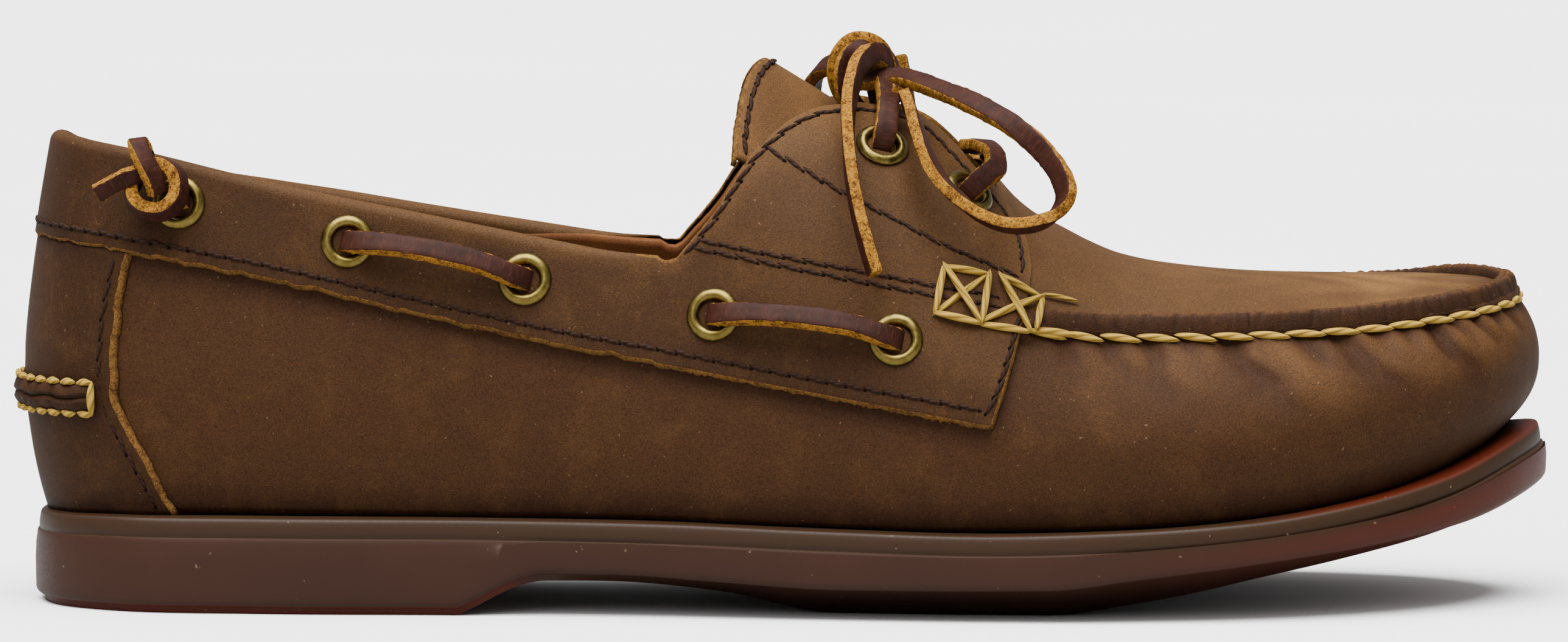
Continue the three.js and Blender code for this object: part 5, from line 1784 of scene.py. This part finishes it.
# Routes of the free lace, as the solids have them.
CORDS = {
    "bow_loop_lateral": dict(
        points=[(170.6, -12.6, 103), (173.4, -16.4, 102.4), (177.1, -20.8, 101.2), (182.2, -26.4, 99.4),
                (187.2, -31.6, 97.2), (192.2, -36.4, 94.3), (197, -40.6, 90.2), (200.4, -43.6, 85.6),
                (201.4, -45.4, 81.8), (199.4, -46, 78.4), (195.1, -46, 76.4), (190.1, -45.2, 76.2),
                (185.4, -43.4, 77.8), (181, -40.8, 80.8), (177.4, -38, 84.6), (174.8, -34.6, 89.2),
                (173.4, -30.4, 92.8), (172.4, -26, 96.2), (171, -19.6, 99.4)],
        faces=[(0, -0.55, 0.85), (0.15, -0.7, 0.7), (0.1, -0.85, 0.5), (-0.45, -0.85, 0.2),
               (-0.75, -0.45, 0.45),
               (0.05, 0.35, 0.93), (0.45, 0.2, 0.85), (0.8, -0.3, 0.5), (0.88, -0.45, 0.1), (0.88, -0.45, 0)],
        far_end="object",
    ),
    "bow_loop_medial": dict(
        points=[(157.4, 3.2, 105), (154.8, 8.6, 103.6), (153, 15.4, 100.4), (152.6, 23, 96), (153, 31, 91),
                (156.6, 36.6, 86), (163, 38.4, 88), (166.4, 32.4, 94.2), (167.2, 23.6, 100.4),
                (165.6, 14, 104.6),
                (164.2, 6.4, 107.4)],
        faces=[(-0.6, -0.6, 0.6), (-0.5, -0.3, 0.8), (-0.5, 0.5, 0.4), (0.2, 0.9, -0.3), (0.6, 0, -0.8),
               (0.3, 0.3, 0.9)],
        far_end="object",
    ),
    "lace_end_lateral": dict(
        points=[(163.8, -12.8, 107.4), (161.8, -18, 105.4), (160.6, -23.4, 102), (159.8, -29, 97.4),
                (159.8, -34.4, 91.6), (160.4, -39.6, 85), (161.6, -43.6, 78.4), (163.4, -46.4, 71.6),
                (164.8, -47.8, 67)],
        faces=[(0.85, -0.45, 0.1), (0.95, -0.3, 0.1), (1, -0.05, 0), (1, 0.15, 0), (1, 0.25, 0)],
        far_end="bare",
    ),
    "lace_end_medial": dict(
        points=[(170.6, 3, 104.6), (171, 10, 104), (171.6, 18, 100.4), (172.4, 26, 94.6), (173.2, 33, 86.8),
                (173.8, 38.6, 78.6), (174, 42.8, 70.6)],
        faces=[(1, 0.1, 0.2), (1, 0.3, 0)],
        far_end="bare",
    ),
}


def make_bow():
    """The loops and ends of the bow, each a free cord from the knot."""
    for k, (name, cord) in enumerate(CORDS.items()):
        piece, route = strap(f"{name}_lace", cord["points"], cord["faces"], seed=30 + k)
        keep(piece, "lace", name)


def make_knot():
    """The bow's knot: a wrap over the crossing ends, with the near end drawn out through it."""
    pieces = {
        "wrap": (
            [(160.4, -2.4, 97.6), (158.0, -5, 100.6), (157.3, -6.4, 104.4), (158.3, -7, 107.7),
             (160.5, -7, 109.9),
             (163.1, -7, 110.2), (165.8, -6.8, 109.1), (167.7, -6.2, 106.8), (168.8, -5.4, 104),
             (168.6, -3.6, 101)],
            [(-1, 0.2, -0.4), (-1, 0.25, 0.1), (-0.6, 0.3, 0.9), (0.2, 0.3, 1), (0.9, -0.1, 0.6),
             (0.85, -0.5, 0)],
            4.0,
        ),
        "turn": (
            [(165.4, -8.6, 106.4), (163.9, -9.6, 108), (162.1, -10.3, 108), (160.4, -10.8, 106.9),
             (159.5, -11, 104.4), (159.3, -10.8, 101.4), (160, -10, 98.6), (161.6, -8, 96.4)],
            [(-0.5, -0.2, 0.9), (-0.1, -0.8, 0.7), (0.3, -0.95, 0), (0.35, -0.92, -0.1), (0.3, -0.9, -0.3)],
            4.2,
        ),
        "root": (
            [(161.4, -8.4, 102.6), (163.4, -9.6, 102.2), (166.2, -10.8, 102.6), (169, -11.6, 103),
             (171.4, -13.6, 102.9)],
            [(-0.1, -0.55, 0.85), (0, -0.55, 0.85)],
            4.2,
        ),
        "end": (
            [(168.2, -7, 104.4), (167, -8.6, 106.6), (165.2, -10.8, 107.7), (163.2, -14, 106.9),
             (161.8, -17.8, 105.5)],
            [(0.7, -0.6, 0.3), (0.8, -0.5, 0.3), (0.85, -0.45, 0.1)],
            4.2,
        ),
        "core": (
            [(158.6, 3, 105.6), (161, -1, 104.4), (165, -3.6, 104), (168.6, -6.4, 104.6)],
            [(0, 0.2, 1), (0, 0.2, 1)],
            5.4,
        ),
        "base": (
            [(164, -7.6, 99.4), (167, -8.4, 100.2), (169.6, -12, 100.4), (170.4, -17, 99.8)],
            [(0.2, -0.95, 0.2), (0.3, -0.9, 0.3)],
            4.2,
        ),
    }
    for k, (name, (path, faces, width)) in enumerate(pieces.items()):
        piece, _ = strap(f"bow_knot_{name}", path, faces, width=width, seed=40 + k)
        keep(piece, "lace", *(["bow_knot"] if name == "wrap" else []))


def make_heel_knots():
    """Half a knot in the lace at each heel eyelet, with a short cut end."""
    for side_name, side in SIDES.items():
        at, out = eyelet_frame(side, "heel")
        forward = unit(np.cross([0, 0, 1.0], out))
        forward = forward if forward[0] > 0 else -forward
        up = unit(np.cross(out, forward))
        up = up if up[2] > 0 else -up
        low = 1.0 if side == LATERAL else 0.55  # the far knot lies lower, out of sight behind the collar

        def to_shoe(v):
            return forward * v[0] + up * v[1] * (low if v[1] > 0 else 1.0) + out * v[2]

        pieces = {
            "ring": (
                [(-6.6, 5.6, 2.4), (-5.2, 6.8, 3.2), (-2.6, 6.9, 4.0), (0.0, 5.2, 4.4), (0.9, 2.4, 4.6),
                 (0.1, -0.5, 4.7), (-2.4, -2.3, 4.7), (-5.6, -2.1, 4.6), (-8.0, -0.2, 4.3), (-8.7, 2.2, 3.6),
                 (-7.8, 3.9, 2.4)],
                [(-0.6, 0.8, 0.2), (0.1, 1, 0.1), (0.8, 0.6, 0.2), (1, 0, 0.35), (0.6, -0.8, 0.4),
                 (-0.5, -0.9, 0.35),
                 (-1, 0, 0.2), (-0.7, 0.7, 0)],
                4.0, 2.7,
            ),
            "root": (
                [(0.8, 0.6, -2.8), (0.9, 0.9, 0.4), (0.4, 1.6, 2.4), (-0.6, 2.0, 3.6)],
                [(1, 0.1, 0.1), (0.95, 0.1, 0.4), (0.6, 0, 0.8)],
                4.2, 2.4,
            ),
            "strap": (
                [(-6.0, 6.6, 1.6), (-6.8, 9.6, 2.4), (-7.5, 10.9, 4.4), (-6.4, 8.6, 6.6), (-5.0, 6.2, 7.2),
                 (-3.8, 3.8, 6.8), (-3.2, 1.4, 5.2)],
                [(-0.5, 0.2, -1), (-0.3, 0.9, 0.2), (0.5, 0.4, 0.8), (0.6, 0.2, 0.75), (0.6, 0.1, 0.75)],
                3.8, 2.5,
            ),
            "end": (
                [(-5.6, 5.0, 4.0), (-7.8, 4.7, 5.2), (-10.2, 3.6, 5.8), (-12.6, 2.3, 6.0), (-15.0, 0.9, 6.0)],
                [(0, -0.5, 0.85), (0, -0.5, 0.85)],
                3.4, 2.6,
            ),
        }
        for k, (name, (path, faces, width, thick)) in enumerate(pieces.items()):
            piece, _ = strap(
                f"heel_knot_{name}_{side_name}", [at + to_shoe(p) for p in path], [to_shoe(f) for f in faces],
                width=width, thick=thick, seed=50 + k,
            )
            keep(piece, "lace", *([f"heel_knot_{side_name}"] if name == "ring" else []))


# ---- Stitching ----
def on_side(side, line, grow):
    """A line drawn in side view, laid on a face of the shoe."""
    return side_face(side, line[:, 0], line[:, 1], grow)


def inset_line(line, distance):
    """A line moved to its left by a distance."""
    tangent = unit(np.gradient(line, axis=0))
    return line + np.stack([-tangent[:, 1], tangent[:, 0]], -1) * distance


# Rows of dark stitching on a saddle, in side view: points, steps, length of a stitch, and how far inset.
SADDLE_ROWS = [
    ([(128.0, 70.4), (133.9, 77.8), (137.7, 83.6), (142, 89.4), (147.7, 94.3), (154, 97.1), (161, 97.9)],
     120, "saddle_pitch", -0.7),
    ([(161, 97.3), (169, 95.9), (175, 93.3), (180, 88.6), (183.4, 84.9), (187.4, 80.8), (190.7, 76.4),
      (193, 71.8), (193.6, 66.6)], 120, "lock_pitch", 0),
    ([(130.8, 72.7), (143, 70.5), (160.5, 67.4), (175.7, 64.5), (188, 62.4)], 120, "saddle_pitch", 0),
    ([(129.6, 70.9), (132, 70.8), (143, 68.8), (160.5, 65.5), (175.6, 62.7), (188.6, 60.4)],
     120, "saddle_pitch", 0),
    ([(143.9, 90.2), (151.2, 86.2), (158.8, 81.8), (167.6, 77.4), (175.8, 73.1), (184, 69.4), (192.8, 65.6)],
     120, "saddle_pitch", 0),
    ([(192.6, 58.6), (190.8, 52), (188.6, 45.2), (186.4, 40.6)], 80, "lock_pitch", 0),
]
TONGUE_STITCHES = 146.2  # where the row round the tongue's free end crosses its ridge


def stitch_rows(sizes):
    """Every row of dark lock stitching: its points, normals, pitch and slant."""
    lock = sizes["lock_pitch"]
    # round the heel and along the band's foot
    ways = np.linspace(way_at(MEDIAL, 184.5), way_at(LATERAL, 184.5), 500)
    z = height_on(BAND_LOWER, LAST_PLAN.at(ways)[:, 0]) + 3.1
    rows = [(wall_face(ways, z, np.full(len(z), BAND_FACE)), wall_normal(ways, z), lock, -0.16)]
    for side in (LATERAL, MEDIAL):
        slant = -0.16 if side == LATERAL else 0.16
        for points, steps, pitch, inset in SADDLE_ROWS:
            line = inset_line(smooth_line(points, steps), inset)
            rows.append((*on_side(side, line, BAND_FACE), sizes[pitch], slant))
        # down the counter's front edge
        heights = np.linspace(68, 21, 120)
        ways = way_at(side, counter_front(heights) - 3.0)
        face = wall_face(ways, heights, np.full(len(heights), GAP + COUNTER))
        rows.append((face, wall_normal(ways, heights), lock, slant))
    # round the tongue's free end
    t = np.linspace(-0.97, 0.97, 160)
    half, ridge, fall = (TONGUE_ROWS.at(name, TONGUE_STITCHES) for name in ("half", "ridge", "fall"))
    height = ridge - fall * t * t + 0.1
    points = np.stack([TONGUE_STITCHES - tongue_back(t), MIDDLE + (half - 0.4) * t, height], -1)
    normals = unit(np.stack([np.full(len(t), 0.5), 2 * fall * t / half, np.ones(len(t))], -1))
    rows.append((points, normals, lock, 0.12))
    return rows


def make_lock_stitches(sizes):
    """The dark machine stitching, each stitch with a dark dot of painted shade for the hole it goes down."""
    seed = thread_seed("lock_seed", 7, 6)
    rng = np.random.default_rng(5)
    frames, scale = [], []
    for points, normals, pitch, slant in stitch_rows(sizes):
        row = row_frames(points, normals, pitch, slant, 0.06, rng)
        frames += row
        scale += [(pitch * 1.22, sizes["lock_width"], 0.95)] * len(row)
    piece = copies("lock_stitches", seed, frames, scale, [MATERIALS["dark_thread"]])
    # Dark dots of painted shade where each stitch goes down into its hole.
    shade_dot_frames = [(at + along * s[0] * 0.48, along, side, up) for (at, along, side, up), s in zip(frames, scale)]
    shade_dots = copies("stitch_holes", seed, shade_dot_frames, [(1.2, 0.8, 0.24)] * len(shade_dot_frames), [MATERIALS["hole"]])
    discard(seed)
    keep(piece, "lace")
    keep(shade_dots, "leather")


def make_seam_stitches(sizes):
    """The pale thread of the toe seam: a row outside the ridge and one inside it."""
    seed = thread_seed("seam_seed", 10, 10, 0.12)
    rng = np.random.default_rng(8)
    pitch, width = sizes["seam_pitch"], sizes["seam_width"]
    ways, _ = ridge_ways(900)
    z = shoulder(ways) - 0.9
    outer = wall_face(ways, z, np.full(len(z), 0.75))
    frames = row_frames(outer, wall_normal(ways, z), pitch, -0.13, 0.1, rng)
    scale = [(pitch * 1.2, width, width * 0.95)] * len(frames)
    inner = wall_point(ways, shoulder(ways))
    inward = LAST_PLAN.inward(ways)
    inner[:, :2] += inward * 3.3
    inner[:, 2] += 1.5
    across = unit(np.concatenate([inward, np.full((len(ways), 1), 0.5)], 1))
    inner_frames = row_frames(inner, across, pitch, 0.2, 0.2, rng)
    frames += inner_frames
    scale += [(pitch * 0.9, width * 0.85, width * 0.8)] * len(inner_frames)
    piece = copies("toe_seam_stitches", seed, frames, scale, [MATERIALS["pale_thread"]])
    discard(seed)
    keep(piece, "lace")


# The hand-sewn lattice where saddle meets vamp: points in side view, and the threads between them.
LATTICE_POINTS = {
    "A": (178.1, 67.7), "B": (186.7, 66.1), "C": (188.8, 65.9), "E": (197.0, 61.3), "F": (176.3, 59.0),
    "G": (185.1, 57.0), "H": (194.5, 55.5), "I": (195.7, 55.7), "J": (203.6, 59.8), "K": (203.2, 54.6),
}
LATTICE_THREADS = ["AB", "AF", "AG", "FB", "FG", "BG", "CE", "CH", "GE", "GH", "EI", "EJ", "IK"]


def make_lattice_threads(sizes):
    """The hand-sewn threads that cross between saddle and vamp."""
    seed = thread_seed("lattice_seed", 12, 10, 0.2, 0.35)
    frames, scale = [], []
    for side in (LATERAL, MEDIAL):
        for order, (a, b) in enumerate(LATTICE_THREADS):
            xz = np.array([LATTICE_POINTS[a], LATTICE_POINTS[b]])
            on_band = xz[:, 0].max() < 195
            grow = BAND_FACE if on_band else (BAND_FACE - 0.4 if a in "CGE" and b in "EHI" else 0.9)
            points, normals = side_face(side, xz[:, 0], xz[:, 1], grow)
            normal = unit(normals.sum(0))
            along = points[1] - points[0]
            length = np.linalg.norm(along)
            along = along / length
            across = unit(np.cross(normal, along))
            lift = 0.25 + 0.55 * (order % 3)
            frames.append((points.mean(0) + normal * lift, along, across, unit(np.cross(along, across))))
            width = sizes["seam_width"] * (0.6 if b == "J" else 0.95)
            scale.append((length * 1.12, width, width))
    piece = copies("saddle_lattice_threads", seed, frames, scale, [MATERIALS["pale_thread"]])
    discard(seed)
    keep(piece, "lace")


def make_heel_stitches():
    """The pale thread over both lips of the heel roll, and a bar across each of its ends."""
    seed = thread_seed("heel_seed", 10, 8, 0.3)
    frames, scale = [], []
    up = np.array([0, 0, 1.0])
    reach = HEEL_ROLL["reach"]
    count = int(2 * heel_reach(60) / HEEL_PITCH)
    for k in range(count):
        way = np.array([mix(reach, -reach, (k + 0.5) / count)])
        for sign in (1, -1):
            z = np.array([HEEL_ROLL["height"] + sign * (HEEL_ROLL["half"] - 0.1)])
            normal = wall_normal(way, z)[0]
            at = wall_face(way, z, np.array([GAP + COUNTER + 1.2]))[0]
            forward = unit(np.cross(up, normal))
            along = unit(forward + up * sign * 0.05)
            out = unit(normal + up * sign * 1.1)
            frames.append((at, along, unit(np.cross(out, along)), out))
            scale.append((HEEL_PITCH * 1.08, 1.45, 1.35))
    for sign in (1, -1):
        way, z = np.array([sign * reach]), np.array([HEEL_ROLL["height"]])
        normal = wall_normal(way, z)[0]
        at = wall_face(way, z, np.array([GAP + COUNTER + 1.7]))[0]
        frames.append((at, up, unit(np.cross(up, normal)), normal))
        scale.append((7.0, 1.6, 1.6))
    piece = copies("heel_roll_stitches", seed, frames, scale, [MATERIALS["pale_thread"]])
    discard(seed)
    keep(piece, "lace")


# ---- Stage ----
CAMERA_PLACE = (147.4, -1780.0, 187.0)
CAMERA_PITCH = 4.26
LENS = 208.3
FLOOR_SEEN, FLOOR_LIT = (0.4, 0.4, 0.4, 1), ((0.94, 0.94, 0.94, 1), (0.97, 0.97, 0.97, 1))
SKY_STRENGTH, OVERHEAD_ENERGY, FRONT_ENERGY = 0.5, 12.5, 9.0


def make_stage():
    """A wide pale floor, soft studio lights and the camera."""
    deselect()
    bpy.ops.mesh.primitive_grid_add(x_subdivisions=8, y_subdivisions=8, size=14)
    floor = bpy.context.object
    floor.name = "floor"
    material, n, shader = new_material("pale_floor", roughness=0.9, specular=0.2)
    place = n.add("ShaderNodeTexCoord").outputs["Object"]
    tone = n.blend(n.ramp(n.noise(place, 3, 2), 0.3, 0.7), *FLOOR_LIT)
    seen = n.add("ShaderNodeLightPath").outputs["Is Camera Ray"]
    n.link(n.blend(seen, FLOOR_SEEN, tone), shader.inputs["Base Color"])
    floor.data.materials.append(material)

    world = bpy.data.worlds.new("studio")
    bpy.context.scene.world = world
    world.use_nodes = True
    world.node_tree.nodes["Background"].inputs[0].default_value = (1, 1, 1, 1)
    world.node_tree.nodes["Background"].inputs[1].default_value = SKY_STRENGTH

    bpy.ops.object.light_add(type="SUN", location=(0, -0.3, 2))
    overhead = bpy.context.object
    overhead.name = overhead.data.name = "overhead"
    overhead.data.angle = math.radians(60)
    overhead.data.energy = OVERHEAD_ENERGY
    overhead.rotation_euler = (math.radians(12), math.radians(-6), 0)
    bpy.ops.object.light_add(type="AREA", location=(-0.6, -1.7, 1.1))
    front = bpy.context.object
    front.name = front.data.name = "front"
    front.data.size = 1.0
    front.data.energy = FRONT_ENERGY
    front.rotation_euler = (Vector((0, 0, 0.05)) - front.location).to_track_quat("-Z", "Y").to_euler()

    deselect()
    bpy.ops.object.camera_add()
    camera = bpy.context.object
    camera.name = "camera"
    camera.location = to_metres(CAMERA_PLACE)
    camera.rotation_euler = (math.radians(90 - CAMERA_PITCH), 0, 0)
    camera.data.lens = LENS
    camera.data.sensor_width = 36
    camera.data.clip_end = 50
    bpy.context.scene.camera = camera


# ---- Operators ----
class SHOE_OT_stage(bpy.types.Operator):
    """Adds the floor, the lights and the camera"""

    bl_idname = "shoe.stage"
    bl_label = "Stage"

    def execute(self, context):
        make_stage()
        return {"FINISHED"}


class SHOE_OT_materials(bpy.types.Operator):
    """Builds every finish"""

    bl_idname = "shoe.materials"
    bl_label = "Materials"

    def execute(self, context):
        prepare_materials(context.scene.shoe_colours)
        return {"FINISHED"}


class SHOE_OT_bow(bpy.types.Operator):
    """Ties the lace's loops, ends and knot"""

    bl_idname = "shoe.bow"
    bl_label = "Bow"

    def execute(self, context):
        make_bow()
        make_knot()
        return {"FINISHED"}


class SHOE_OT_outsole(bpy.types.Operator):
    """Moulds the rubber unit sole"""

    bl_idname = "shoe.outsole"
    bl_label = "Sole"

    def execute(self, context):
        make_outsole()
        return {"FINISHED"}


class SHOE_OT_insole(bpy.types.Operator):
    """Lays the sock inside the shoe"""

    bl_idname = "shoe.insole"
    bl_label = "Sock"

    def execute(self, context):
        make_insole()
        return {"FINISHED"}


class SHOE_OT_vamp(bpy.types.Operator):
    """Lasts the vamp and the apron"""

    bl_idname = "shoe.vamp"
    bl_label = "Vamp"

    def execute(self, context):
        make_vamp()
        make_apron()
        return {"FINISHED"}


class SHOE_OT_lining(bpy.types.Operator):
    """Lines the quarters"""

    bl_idname = "shoe.lining"
    bl_label = "Lining"

    def execute(self, context):
        make_lining()
        return {"FINISHED"}


class SHOE_OT_band(bpy.types.Operator):
    """Cuts the quarter band with its saddles and rolled collar"""

    bl_idname = "shoe.band"
    bl_label = "Quarter band"

    def execute(self, context):
        make_band()
        return {"FINISHED"}


class SHOE_OT_counter(bpy.types.Operator):
    """Adds the heel counter and its sewn roll"""

    bl_idname = "shoe.counter"
    bl_label = "Heel"

    def execute(self, context):
        make_counter()
        make_heel_roll()
        return {"FINISHED"}


class SHOE_OT_ridge(bpy.types.Operator):
    """Raises the toe seam"""

    bl_idname = "shoe.ridge"
    bl_label = "Toe seam"

    def execute(self, context):
        make_ridge()
        return {"FINISHED"}


class SHOE_OT_tongue(bpy.types.Operator):
    """Cuts the tongue"""

    bl_idname = "shoe.tongue"
    bl_label = "Tongue"

    def execute(self, context):
        make_tongue()
        return {"FINISHED"}


class SHOE_OT_eyelets(bpy.types.Operator):
    """Sets the brass eyelets"""

    bl_idname = "shoe.eyelets"
    bl_label = "Eyelets"

    def execute(self, context):
        make_eyelets()
        return {"FINISHED"}


class SHOE_OT_laces(bpy.types.Operator):
    """Threads the lace through the eyelets"""

    bl_idname = "shoe.laces"
    bl_label = "Laces"

    def execute(self, context):
        make_side_laces()
        make_crossings()
        make_heel_knots()
        return {"FINISHED"}


class SHOE_OT_stitches(bpy.types.Operator):
    """Sews every visible seam"""

    bl_idname = "shoe.stitches"
    bl_label = "Stitching"

    def execute(self, context):
        sizes = millimetres(context.scene.shoe_sizes)
        make_lock_stitches(sizes)
        make_seam_stitches(sizes)
        make_lattice_threads(sizes)
        make_heel_stitches()
        return {"FINISHED"}


OPERATORS = (
    SHOE_OT_stage, SHOE_OT_materials, SHOE_OT_bow, SHOE_OT_outsole, SHOE_OT_insole, SHOE_OT_vamp,
    SHOE_OT_lining, SHOE_OT_band, SHOE_OT_counter, SHOE_OT_ridge, SHOE_OT_tongue, SHOE_OT_eyelets,
    SHOE_OT_laces, SHOE_OT_stitches,
)


class SHOE_PT_panel(bpy.types.Panel):
    """The shoe's settings and the steps of its making."""

    bl_label = "Boat Shoe"
    bl_idname = "SHOE_PT_panel"
    bl_space_type = "VIEW_3D"
    bl_region_type = "UI"
    bl_category = "Boat Shoe"

    def draw(self, context):
        for group in (context.scene.shoe_sizes, context.scene.shoe_colours):
            box = self.layout.box()
            for name in type(group).__annotations__:
                box.prop(group, name)
        for step in OPERATORS:
            self.layout.operator(step.bl_idname)


CLASSES = (ShoeSizes, ShoeColours, *OPERATORS, SHOE_PT_panel)


def register():
    """Adds the shoe's settings, steps and panel."""
    for cls in CLASSES:
        bpy.utils.register_class(cls)
    bpy.types.Scene.shoe_sizes = bpy.props.PointerProperty(type=ShoeSizes)
    bpy.types.Scene.shoe_colours = bpy.props.PointerProperty(type=ShoeColours)


def unregister():
    """Takes them out again."""
    del bpy.types.Scene.shoe_sizes, bpy.types.Scene.shoe_colours
    for cls in reversed(CLASSES):
        bpy.utils.unregister_class(cls)


def main():
    """Makes the whole shoe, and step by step."""
    register()
    for step in OPERATORS:
        getattr(bpy.ops.shoe, step.bl_idname.split(".")[1])()


if __name__ == "__main__":
    main()
